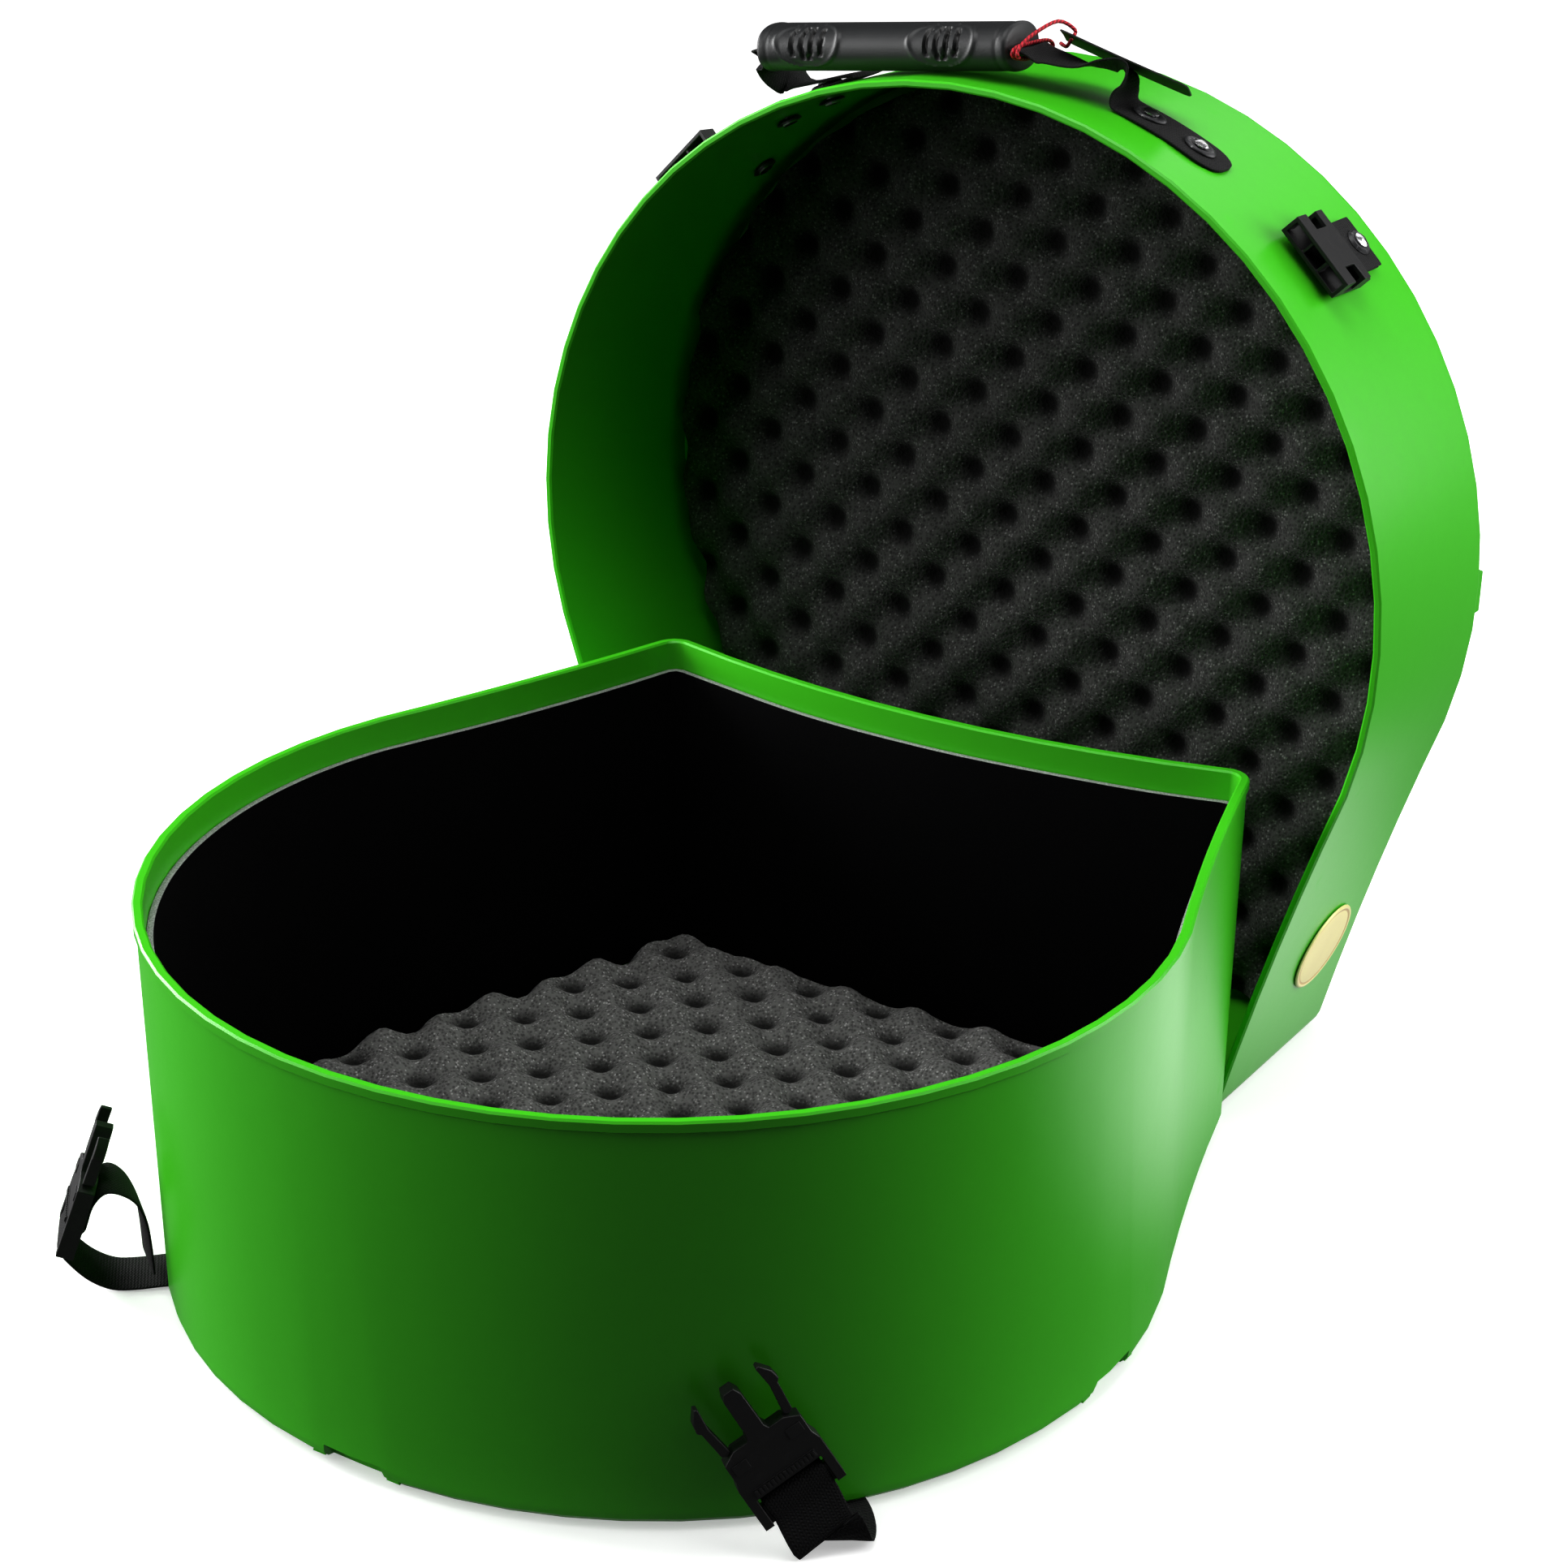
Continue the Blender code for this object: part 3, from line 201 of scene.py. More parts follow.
# Softboxes: place, width and height, and strength in watts
SOFTBOXES = {"left_softbox": ((-1.60, -0.09, 0.70), (1.1, 1.0), 44.0),
             "left_front_softbox": ((-1.13, -1.13, 0.70), (1.0, 1.0), 15.0),
             "right_softbox": ((1.28, 0.96, 0.70), (1.3, 1.0), 25.0),
             "back_softbox": ((0.10, 1.40, 1.30), (1.0, 1.0), 4.0),
             "top_softbox": ((0.0, 0.0, 1.60), (0.9, 0.9), 12.0),
             "top_right_softbox": ((0.90, 0.20, 1.40), (0.9, 0.9), 4.5),
             "top_front_softbox": ((-0.50, -0.70, 1.50), (0.9, 0.9), 4.0)}
SOFTBOX_TARGET = (0.0, 0.05, 0.18)

# Floor: how it glows, what it sends back up, and the bright spot seen in the glossy skin
WHITE = (1.0, 1.0, 1.0)
FLOOR_RADIUS = 9.0
FLOOR_DROP = 0.0002
CARD_STEP = 0.001
GLOW_RISE = (0.50, 1.2)
FLOOR_EMISSION = 1.05
BOUNCE_RING = (BASE_RADIUS + 0.012, BASE_RADIUS + 0.024)
GLEAM_PLACE = (0.38, 0.33, 0.0)
GLEAM_FALL = (0.30, 0.12)
GLEAM_EMISSION = 2.4


class Value:
    """One output of a finish's node tree, for use in sums and products."""

    def __init__(self, finish, socket):
        self.finish = finish
        self.socket = socket

    def maths(self, operation, *values):
        inputs = dict(enumerate(values))
        return self.finish.node("ShaderNodeMath", {"operation": operation}, inputs)

    def __add__(self, other):
        return self.maths("ADD", self, other)

    __radd__ = __add__

    def __sub__(self, other):
        return self.maths("SUBTRACT", self, other)

    def __rsub__(self, other):
        return self.maths("SUBTRACT", other, self)

    def __mul__(self, other):
        return self.maths("MULTIPLY", self, other)

    __rmul__ = __mul__

    def sine(self):
        return self.maths("SINE", self)

    def size(self):
        return self.maths("ABSOLUTE", self)

    def part(self, axis):
        """One coordinate of a vector, by its number."""
        return self.finish.node("ShaderNodeSeparateXYZ", {}, {0: self}, output=axis)


class Finish:
    """A material in the making; its spot is the surface point in the piece's own metres."""

    def __init__(self, name):
        self.material = bpy.data.materials.new(name)
        self.material.use_nodes = True
        self.tree = self.material.node_tree
        self.shader = self.tree.nodes["Principled BSDF"]
        self.spot = self.node("ShaderNodeTexCoord", {}, {}, output="Object")

    def node(self, kind, settings, sockets, output=0):
        """Adds a node with its settings and inputs, and gives one of its outputs."""
        made = self.tree.nodes.new(kind)
        for name, setting in settings.items():
            setattr(made, name, setting)
        for name, value in sockets.items():
            self.feed(made.inputs[name], value)
        return Value(self, made.outputs[output])

    def feed(self, socket, value):
        if isinstance(value, Value):
            self.tree.links.new(value.socket, socket)
        else:
            socket.default_value = value

    def lay(self):
        """What a piece's own points hold: distances along and across it, or a height."""
        return self.node("ShaderNodeAttribute", {"attribute_name": "lay"}, {}, output="Vector")

    def clouds(self, scale, detail=2.0, roughness=0.5):
        return self.node("ShaderNodeTexNoise", {}, {"Vector": self.spot, "Scale": scale,
                                                    "Detail": detail, "Roughness": roughness})

    def cells(self, scale, output="Distance"):
        return self.node("ShaderNodeTexVoronoi", {}, {"Vector": self.spot, "Scale": scale}, output)

    def away(self, place=(0.0, 0.0, 0.0)):
        """Distance of the surface point from a place in the piece's own coordinates."""
        return self.node("ShaderNodeVectorMath", {"operation": "DISTANCE"},
                         {0: self.spot, 1: place}, "Value")

    def fade(self, value, low, high):
        """Smooth step from 0 to 1 as a value passes from low to high."""
        return self.node("ShaderNodeMapRange", {"interpolation_type": "SMOOTHSTEP"},
                         {0: value, 1: low, 2: high})

    def mix(self, share, first, second):
        """Colour between two colours."""
        sockets = {0: share, 6: tint(first), 7: tint(second)}
        return self.node("ShaderNodeMix", {"data_type": "RGBA"}, sockets, output=2)

    def bump(self, height, distance, strength=1.0, under=None):
        sockets = {"Height": height, "Distance": distance, "Strength": strength}
        if under is not None:
            sockets["Normal"] = under
        return self.node("ShaderNodeBump", {}, sockets)

    def dress(self, colour, roughness, more):
        """Sets the surface shader's sockets and returns the finished material."""
        for name, value in {"Base Color": colour, "Roughness": roughness, **more}.items():
            self.feed(self.shader.inputs[name], tint(value))
        return self.material


def opaque(colour):
    return (colour[0], colour[1], colour[2], 1.0)


def tint(value):
    """A plain colour gets its fourth number; anything else stays as it is."""
    if isinstance(value, (Value, int, float)):
        return value
    return opaque(value)


def scaled(colour, share):
    return tuple(min(1.0, part * share) for part in colour[:3])


def lime_finish(shell):
    """Moulded polyethylene: faint clouding, moulded grain, and fine rubbed marks."""
    finish = Finish("lime_polyethylene")
    cloud = finish.clouds(7.0, 3.0)
    speck = finish.clouds(260.0, 2.0)
    grain = finish.clouds(1400.0, 2.0)
    ripple = finish.clouds(55.0, 1.0)
    colour = finish.mix(cloud * 0.7 + speck * 0.3, scaled(shell.lime, 0.93), scaled(shell.lime, 1.06))
    rubbed = finish.fade(finish.clouds(38.0, 6.0, 0.7), 0.60, 0.78)
    marked = finish.mix(rubbed * 0.10, colour, scaled(shell.lime, 1.5))
    skin = finish.bump(grain * 0.6 + speck * 0.4, 0.00006, 0.35)
    wave = finish.bump(ripple, 0.0004, 0.25, skin)
    return finish.dress(marked, shell.gloss + rubbed * 0.10 + grain * 0.05,
                        {"Normal": wave, "IOR": 1.5, "Specular IOR Level": 0.36})


def foam_finish(name, shade, painted_glint_colour):
    """Open-cell foam: pores painted dark as painted shade, grey cell walls, small bright specks painted
    as highlights, and dips painted near-black as painted shade.
    """
    finish = Finish(name)
    crest = finish.lay().part(0)
    pores = finish.cells(620.0)
    fine = finish.cells(1300.0)
    chance = finish.cells(880.0, output="Color").part(0)
    # Painted highlights: a few small cells are painted bright as specks on the cell edges.
    painted_glint = finish.fade(chance, 0.74, 0.92) * finish.fade(finish.cells(880.0), 0.62, 0.25)
    # The middle of each pore is painted darker than the cell walls, as painted shade in the holes.
    wall = finish.fade(pores, 0.10, 0.70)
    # Painted shade: the dips of the egg-crate are painted near-black, the crests keep the foam colour.
    height_for_painted_shade = finish.fade(crest + finish.clouds(140.0, 2.0) * 0.12, 0.16, 0.62)
    colour = finish.mix(wall, scaled(shade, 0.40), shade)
    colour = finish.mix(painted_glint * 0.85, colour, painted_glint_colour)
    colour = finish.mix(height_for_painted_shade, scaled(shade, 0.07), colour)
    relief = finish.bump(pores * 0.7 + fine * 0.3, 0.0008, 0.8)
    return finish.dress(colour, 0.95, {"Normal": relief, "Specular IOR Level": 0.2})


def lining_finish():
    """Thin closed-cell lining with a soft nap."""
    finish = Finish("black_lining")
    nap = finish.clouds(1300.0, 3.0, 0.7)
    cloud = finish.clouds(30.0, 3.0)
    colour = finish.mix(nap * 0.6 + cloud * 0.4, (0.0006, 0.0006, 0.0007), (0.0030, 0.0030, 0.0032))
    return finish.dress(colour, 0.97, {"Specular IOR Level": 0.04,
                                       "Normal": finish.bump(nap, 0.0002, 0.6)})


def cut_edge_finish():
    """Pale cut edge of the lining, open cells showing, their middles painted darker as painted shade."""
    finish = Finish("pale_cut_edge")
    pores = finish.cells(1500.0)
    # The middle of each open cell is painted darker as painted shade.
    colour = finish.mix(pores, (0.10, 0.11, 0.10), (0.42, 0.44, 0.42))
    return finish.dress(colour, 0.9, {"Normal": finish.bump(pores, 0.0003, 0.6)})


def webbing_finish(webbing):
    """Woven polypropylene: ribs across the strap, broken into columns of yarn, painted darker in the
    hollows as painted shade and lighter on the ribs as painted highlight.
    """
    finish = Finish("black_webbing")
    lay = finish.lay()
    along = lay.part(0)
    across = lay.part(1)
    column = across * (2 * math.pi / webbing.yarn)
    rib = (along * (2 * math.pi / webbing.rib) + column.sine() * 1.2).sine()
    yarn = column.sine().size()
    weave = rib * 0.5 + 0.5
    height = weave * 0.7 + yarn * 0.3
    fuzz = finish.clouds(2500.0, 2.0)
    # Colour follows the weave's height: hollows painted darker as painted shade, ribs lighter as painted
    # highlight, with fuzz as random tone.
    colour = finish.mix(height * 0.7 + fuzz * 0.3, scaled(webbing.colour, 0.45),
                        scaled(webbing.colour, 1.7))
    return finish.dress(colour, 0.72 + fuzz * 0.15,
                        {"Normal": finish.bump(height + fuzz * 0.15, 0.0003, 0.8),
                         "Specular IOR Level": 0.25, "Sheen Weight": 0.04, "Sheen Roughness": 0.5})


def plastic_finish(plastic):
    """Moulded acetal: fine spark-eroded texture that rubs smooth."""
    finish = Finish("black_acetal")
    grain = finish.clouds(2200.0, 3.0, 0.6)
    worn = finish.fade(finish.clouds(160.0, 4.0, 0.65), 0.5, 0.75)
    colour = finish.mix(grain * 0.5 + worn * 0.5, scaled(plastic.colour, 0.6),
                        scaled(plastic.colour, 1.9))
    return finish.dress(colour, 0.42 + grain * 0.12 - worn * 0.08,
                        {"Normal": finish.bump(grain, 0.00012, 0.5), "Specular IOR Level": 0.4})


def rubber_finish(grip):
    """Soft moulded grip with a fine matt grain and cloudy tone; its slots are painted dark as painted
    shade, which leaves the high spots paler.
    """
    finish = Finish("dark_grip_rubber")
    grain = finish.clouds(1500.0, 3.0, 0.6)
    cloud = finish.clouds(60.0, 3.0)
    height_for_painted_shade = finish.lay().part(2)
    colour = finish.mix(grain * 0.4 + cloud * 0.6, scaled(grip.colour, 0.75), scaled(grip.colour, 1.25))
    # Painted shade: the slots, where the relief sinks, are painted much darker.
    colour = finish.mix(finish.fade(height_for_painted_shade, 0.0, -0.0008), colour, scaled(grip.colour, 0.15))
    return finish.dress(colour, 0.40 + grain * 0.12, {"Normal": finish.bump(grain, 0.0002, 0.45)})


def steel_finish():
    """Bright plated rivets with faint turning marks."""
    finish = Finish("bright_rivet")
    marks = finish.clouds(900.0, 4.0, 0.7)
    tarnish = finish.fade(finish.clouds(250.0, 3.0), 0.5, 0.8)
    colour = finish.mix(tarnish, (0.80, 0.80, 0.82), (0.52, 0.50, 0.48))
    return finish.dress(colour, 0.16 + marks * 0.14,
                        {"Metallic": 1.0, "Normal": finish.bump(marks, 0.00005, 0.4)})


def washer_finish():
    """Dark coated washers, worn bright in places."""
    finish = Finish("dark_washer")
    worn = finish.fade(finish.clouds(420.0, 4.0, 0.7), 0.55, 0.72)
    colour = finish.mix(worn * 0.8, (0.030, 0.030, 0.033), (0.42, 0.42, 0.43))
    return finish.dress(colour, 0.42 - worn * 0.15,
                        {"Metallic": 0.2 + worn * 0.7,
                         "Normal": finish.bump(finish.clouds(1500.0), 0.0001, 0.4)})


def gold_finish(badge):
    """Satin gold plate, blank, with a dark line painted into the groove inside its rim as painted shade.
    """
    finish = Finish("pale_gold_badge")
    reach = finish.lay().part(0)
    satin = finish.clouds(1600.0, 3.0, 0.6)
    cloud = finish.clouds(70.0, 2.0)
    colour = finish.mix(satin * 0.4 + cloud * 0.6, scaled(badge.colour, 0.85), scaled(badge.colour, 1.1))
    # The dark line lies in the groove of the rolled rim: painted shade.
    line = finish.fade(reach, 0.86, 0.88) * finish.fade(reach, 0.93, 0.91)
    colour = finish.mix(line * 0.85, colour, badge.line)
    return finish.dress(colour, 0.34 + satin * 0.12,
                        {"Metallic": 0.12, "Normal": finish.bump(satin, 0.00006, 0.4)})


def cord_finish():
    """Red two-strand cord: the strands wind round each other, painted dark in the grooves between them
    as painted shade.
    """
    finish = Finish("red_cord")
    lay = finish.lay()
    twist = (lay.part(0) * (2 * math.pi / 0.0022) + lay.part(1) * 2.0).sine()
    strand = twist * 0.5 + 0.5
    fuzz = finish.clouds(3500.0, 2.0)
    # Grooves between the strands are painted dark red as painted shade, their tops bright red.
    colour = finish.mix(strand * 0.8 + fuzz * 0.2, (0.16, 0.0, 0.006), (0.78, 0.012, 0.035))
    return finish.dress(colour, 0.6, {"Normal": finish.bump(strand, 0.0004, 0.8)})


def card_finish():
    """Coated card with paler, rubbed edges."""
    finish = Finish("black_card")
    fibre = finish.clouds(1800.0, 3.0, 0.6)
    rim = finish.lay().part(0)
    colour = finish.mix(fibre, (0.002, 0.002, 0.002), (0.006, 0.006, 0.006))
    colour = finish.mix(finish.fade(rim, 0.0007, 0.0) * 0.5, colour, (0.05, 0.05, 0.05))
    return finish.dress(colour, 0.62 + fibre * 0.1,
                        {"Normal": finish.bump(fibre, 0.00006, 0.5), "Specular IOR Level": 0.2})


def floor_finish(stage):
    """Plain pale studio floor that glows fully only away from the case."""
    finish = Finish("pale_floor")
    cloud = finish.clouds(3.0, 2.0)
    colour = finish.mix(cloud, scaled(stage.floor, 0.985), stage.floor)
    near = scaled(WHITE, stage.glow)
    glow = finish.mix(finish.fade(finish.away(), *GLOW_RISE), near, WHITE)
    return finish.dress(colour, 0.85, {"Specular IOR Level": 0.1, "Emission Color": glow,
                                       "Emission Strength": FLOOR_EMISSION})


def bounce_finish(stage):
    """The light that the floor sends back up, strongest in a ring round the base's foot."""
    finish = Finish("bounce_card")
    grain = finish.clouds(3.0, 2.0)
    colour = finish.mix(grain, scaled(stage.bounce, 0.97), stage.bounce)
    colour = finish.mix(finish.fade(finish.away(), *BOUNCE_RING), stage.floor, colour)
    return finish.dress(colour, 0.9, {"Specular IOR Level": 0.0})


def gleam_finish(stage):
    """The floor as the case's glossy skin sees it, brightest at the right."""
    finish = Finish("gleam_card")
    even = scaled(WHITE, stage.gleam)
    light = finish.mix(finish.fade(finish.away(GLEAM_PLACE), *GLEAM_FALL), even, WHITE)
    return finish.dress((0.0, 0.0, 0.0), 1.0, {"Specular IOR Level": 0.0, "Emission Color": light,
                                               "Emission Strength": GLEAM_EMISSION})


def dress_nodes(material, names):
    """Gives CAD nodes a finish."""
    for name in names:
        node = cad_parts[name]
        for held in node.material_slots:
            held.link = "OBJECT"
            held.material = material


def joined_faces():
    """Modifier nodes that join a node's loose faces and shade all but its sharp edges smoothly."""
    group = bpy.data.node_groups.new("joined_faces", "GeometryNodeTree")
    group.interface.new_socket("Geometry", in_out="INPUT", socket_type="NodeSocketGeometry")
    group.interface.new_socket("Geometry", in_out="OUTPUT", socket_type="NodeSocketGeometry")
    kinds = ("NodeGroupInput", "GeometryNodeMergeByDistance", "GeometryNodeRemoveAttribute",
             "GeometryNodeSetShadeSmooth", "GeometryNodeSetShadeSmooth", "NodeGroupOutput")
    chain = [group.nodes.new(kind) for kind in kinds]
    for first, second in zip(chain, chain[1:]):
        group.links.new(first.outputs[0], second.inputs[0])
    merge, forget, faces, edges = chain[1:-1]
    merge.inputs["Distance"].default_value = MERGE_DISTANCE
    forget.inputs["Name"].default_value = "custom_normal"
    edges.domain = "EDGE"
    edges.inputs["Shade Smooth"].default_value = False
    angle = group.nodes.new("GeometryNodeInputMeshEdgeAngle")
    sharp = group.nodes.new("FunctionNodeCompare")
    sharp.inputs["B"].default_value = CREASE_ANGLE
    group.links.new(angle.outputs["Unsigned Angle"], sharp.inputs["A"])
    group.links.new(sharp.outputs[0], edges.inputs["Selection"])
    return group


def add_modifiers(names, label, kind, settings):
    """Gives CAD nodes a modifier with its settings."""
    for name in names:
        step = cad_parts[name].modifiers.new(label, kind)
        for setting, value in settings.items():
            setattr(step, setting, value)


def smooth_nodes(names):
    """Joins and smooths the faces of CAD nodes, keeping their sharp edges."""
    group = bpy.data.node_groups.get("joined_faces") or joined_faces()
    add_modifiers(names, "Joined faces", "NODES", {"node_group": group})


def even_normals(names):
    """Lets the large faces of CAD nodes set the shading of the small ones beside them."""
    add_modifiers(names, "Even shading", "WEIGHTED_NORMAL",
                  {"mode": "FACE_AREA_WITH_ANGLE", "keep_sharp": True})


def soften_edges(names, width):
    """Eases the sharp edges of CAD nodes."""
    add_modifiers(names, "Eased edges", "BEVEL",
                  {"width": width, "segments": 2, "limit_method": "ANGLE", "angle_limit": EASED_ANGLE,
                   "harden_normals": False, "use_clamp_overlap": True})


def add_piece(name, mesh, material, body, stands_for=()):
    """A new piece in the case's frame, riding on a body."""
    mesh.materials.clear()
    mesh.materials.append(material)
    piece = bpy.data.objects.new(name, mesh)
    bpy.context.scene.collection.objects.link(piece)
    if stands_for:
        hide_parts(*stands_for)
    if body is not None:
        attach(piece, body)
    return piece


def ring_faces(rings, count):
    """Four-sided faces between rings that each have the same count of points."""
    faces = []
    for low in range(0, (rings - 1) * count, count):
        high = low + count
        for i in range(count):
            j = (i + 1) % count
            faces.append((low + i, low + j, high + j, high + i))
    return faces


def built_mesh(name, pairs, faces, sharp):
    """A closed skin over pairs of a point and its lay, smooth but at its sharp edges."""
    mesh = bpy.data.meshes.new(name)
    mesh.from_pydata([tuple(spot) for spot, lay in pairs], [], faces)
    layer = mesh.attributes.new("lay", "FLOAT_VECTOR", "POINT")
    for held, (spot, lay) in zip(layer.data, pairs):
        held.vector = lay
    bm = bmesh.new()
    bm.from_mesh(mesh)
    bmesh.ops.recalc_face_normals(bm, faces=bm.faces)
    bm.to_mesh(mesh)
    bm.free()
    mesh.shade_smooth()
    mesh.set_sharp_from_angle(angle=sharp)
    return mesh


def mesh_from_rows(name, rows, caps=True):
    """Skin over rings of pairs, closed by a face at each end or by a last ring on the first."""
    count = len(rows[0])
    faces = ring_faces(len(rows), count)
    if caps:
        last = (len(rows) - 1) * count
        faces.append(tuple(range(count))[::-1])
        faces.append(tuple(range(last, last + count)))
    return built_mesh(name, [pair for row in rows for pair in row], faces, SHARP_ANGLE)


def axes(x_axis, y_axis, z_axis):
    """A turn whose axes are three given directions."""
    return Matrix((x_axis, y_axis, z_axis)).transposed().to_4x4()


def squarer(value, power):
    """A sine or cosine raised to a power with its sign kept, which squares an oval's corners."""
    return math.copysign(abs(value) ** power, value)


def path_frames(path):
    """Each point of a path, the direction there, and the distance travelled so far."""
    travelled = 0.0
    for i, spot in enumerate(path):
        if i:
            travelled += (spot - path[i - 1]).length
        after = path[min(i + 1, len(path) - 1)]
        yield spot, (after - path[max(i - 1, 0)]).normalized(), travelled


def oval_rows(place, ovals, around):
    """Rings of points and lays; an oval is its half sizes along X and Y, its height and its lay."""
    turns = [2 * math.pi * step / around for step in range(around)]
    return [[(place @ Vector((x * math.cos(turn), y * math.sin(turn), height)), (lay, 0.0, 0.0))
             for turn in turns] for x, y, height, lay in ovals]


def smooth_path(points, per_span):
    """Catmull-Rom curve through points."""
    points = [Vector(p) for p in points]
    ends = [points[0] * 2 - points[1]] + points + [points[-1] * 2 - points[-2]]
    path = []
    for before, start, end, after in zip(ends, ends[1:], ends[2:], ends[3:]):
        for step in range(per_span):
            t = step / per_span
            path.append(0.5 * (2 * start + (end - before) * t
                               + (2 * before - 5 * start + 4 * end - after) * t ** 2
                               + (3 * start - before - 3 * end + after) * t ** 3))
    path.append(points[-1])
    return path


def side_normal_angle(flat):
    """Direction, from +X, of the normal of the straight side that touches the round end."""
    reach = math.hypot(CORNER_HALF_WIDTH, flat)
    return math.atan2(flat, CORNER_HALF_WIDTH) - math.acos(BASE_RADIUS / reach)


def outline(flat, inset, end_hollow, count):
    """Plan of the case moved inward, as evenly spaced points from the middle of the flat end."""
    angle = side_normal_angle(flat)
    normal = Vector((math.cos(angle), math.sin(angle)))
    radius, flat = BASE_RADIUS - inset, flat - inset
    fillet = max(CORNER_RADIUS - inset, LEAST_FILLET)
    fillet_y = flat - fillet
    fillet_x = (radius - fillet - normal.y * fillet_y) / normal.x
    right = []
    for step in range(END_STEPS):
        x = fillet_x * step / END_STEPS
        right.append(Vector((x, flat - end_hollow * (1 - (x / fillet_x) ** 2))))
    for step in range(CORNER_STEPS + 1):
        turn = math.pi / 2 + (angle - math.pi / 2) * step / CORNER_STEPS
        right.append(Vector((fillet_x + fillet * math.cos(turn), fillet_y + fillet * math.sin(turn))))
    start = right[-1]
    end = normal * radius
    for step in range(1, SIDE_STEPS):
        share = step / SIDE_STEPS
        right.append(start.lerp(end, share) - normal * SIDE_HOLLOW * 4 * share * (1 - share))
    for step in range(ROUND_STEPS + 1):
        turn = angle + (-math.pi / 2 - angle) * step / ROUND_STEPS
        right.append(Vector((radius * math.cos(turn), radius * math.sin(turn))))
    whole = right + [Vector((-spot.x, spot.y)) for spot in right[-2:0:-1]]
    return evenly_spaced(whole, count)


def evenly_spaced(loop, count):
    """Points at equal distances round a closed line."""
    lengths = [0.0]
    for start, end in zip(loop, loop[1:] + loop[:1]):
        lengths.append(lengths[-1] + (end - start).length)
    made = []
    here = 0
    for step in range(count):
        target = lengths[-1] * step / count
        while lengths[here + 1] < target:
            here += 1
        share = (target - lengths[here]) / (lengths[here + 1] - lengths[here])
        made.append(loop[here].lerp(loop[(here + 1) % len(loop)], share))
    return made


def base_plan(height, inset, count):
    """Plan of the base at a height, moved inward."""
    share = height / BASE_HEIGHT
    hollow = BASE_END_HOLLOW * (HOLLOW_SHARE_AT_FLOOR + (1 - HOLLOW_SHARE_AT_FLOOR) * share)
    return outline(BASE_FLAT_END, inset + BASE_DRAFT * (1 - share), hollow, count)


def lid_plan(height, inset, count):
    """Plan of the lid at a distance from its rim, moved inward."""
    draft = LID_DRAFT * height / LID_DEPTH
    return outline(BASE_FLAT_END + LID_EXTRA_LENGTH, inset + draft - LID_OFFSET, LID_END_HOLLOW,
                   count)


def wall_frame(radius, angle, height, slope):
    """Frame on a round wall: X runs round it, Y up it, Z outward; angle is from -Y towards +X."""
    turn = math.radians(angle)
    out = Vector((math.sin(turn), -math.cos(turn), 0.0))
    along = Vector((math.cos(turn), math.sin(turn), 0.0))
    up = Vector((0.0, 0.0, 1.0))
    place = Matrix.Translation(out * radius + up * height) @ axes(along, up, out)
    return place @ Matrix.Rotation(slope, 4, "X")


def base_wall_frame(angle):
    return wall_frame(BASE_RADIUS - BASE_DRAFT, angle, 0.0, BASE_SLOPE)


def lid_wall_frame(angle, depth):
    """Frame on the lid's round wall, in the case's frame."""
    radius = LID_RADIUS - LID_DRAFT * depth / LID_DEPTH
    return LID @ wall_frame(radius, angle, depth, -LID_LEAN)


def lid_point(x, up, depth):
    """A point given by its place right, up and back on the standing lid."""
    return LID @ Vector((x, -up, depth))


def webbing_mesh(name, stations, per_span=4, round_end=0.0):
    """Strap with soft edges; its lays hold the distances along it, across it and from its middle."""
    centres = smooth_path([centre for centre, across in stations], per_span)
    acrosses = smooth_path([across for centre, across in stations], per_span)
    whole = sum((after - before).length for before, after in zip(centres, centres[1:]))
    sides = 28
    turns = [2 * math.pi * (step + 0.5) / sides for step in range(sides)]
    rows = []
    for (centre, along, travelled), across in zip(path_frames(centres), acrosses):
        across = (across - along * across.dot(along)).normalized()
        normal = along.cross(across)
        past = max(0.0, travelled - (whole - round_end)) / round_end if round_end else 0.0
        taper = WEBBING_END_TAPER * (1 - math.sqrt(max(0.0, 1 - past ** 2)))
        reach = WEBBING_WIDTH / 2 - WEBBING_WIDTH * taper
        row = []
        for turn in turns:
            wide = squarer(math.cos(turn), 0.3) * reach
            high = squarer(math.sin(turn), 0.5) * WEBBING_THICKNESS / 2
            row.append((centre + across * wide + normal * high, (travelled, wide, high)))
        sunk = max(0.0, CAD_BOX[0].z - min(point.z for point, lay in row))
        rows.append([(point + Vector((0.0, 0.0, sunk)), lay) for point, lay in row])
    return mesh_from_rows(name, rows)


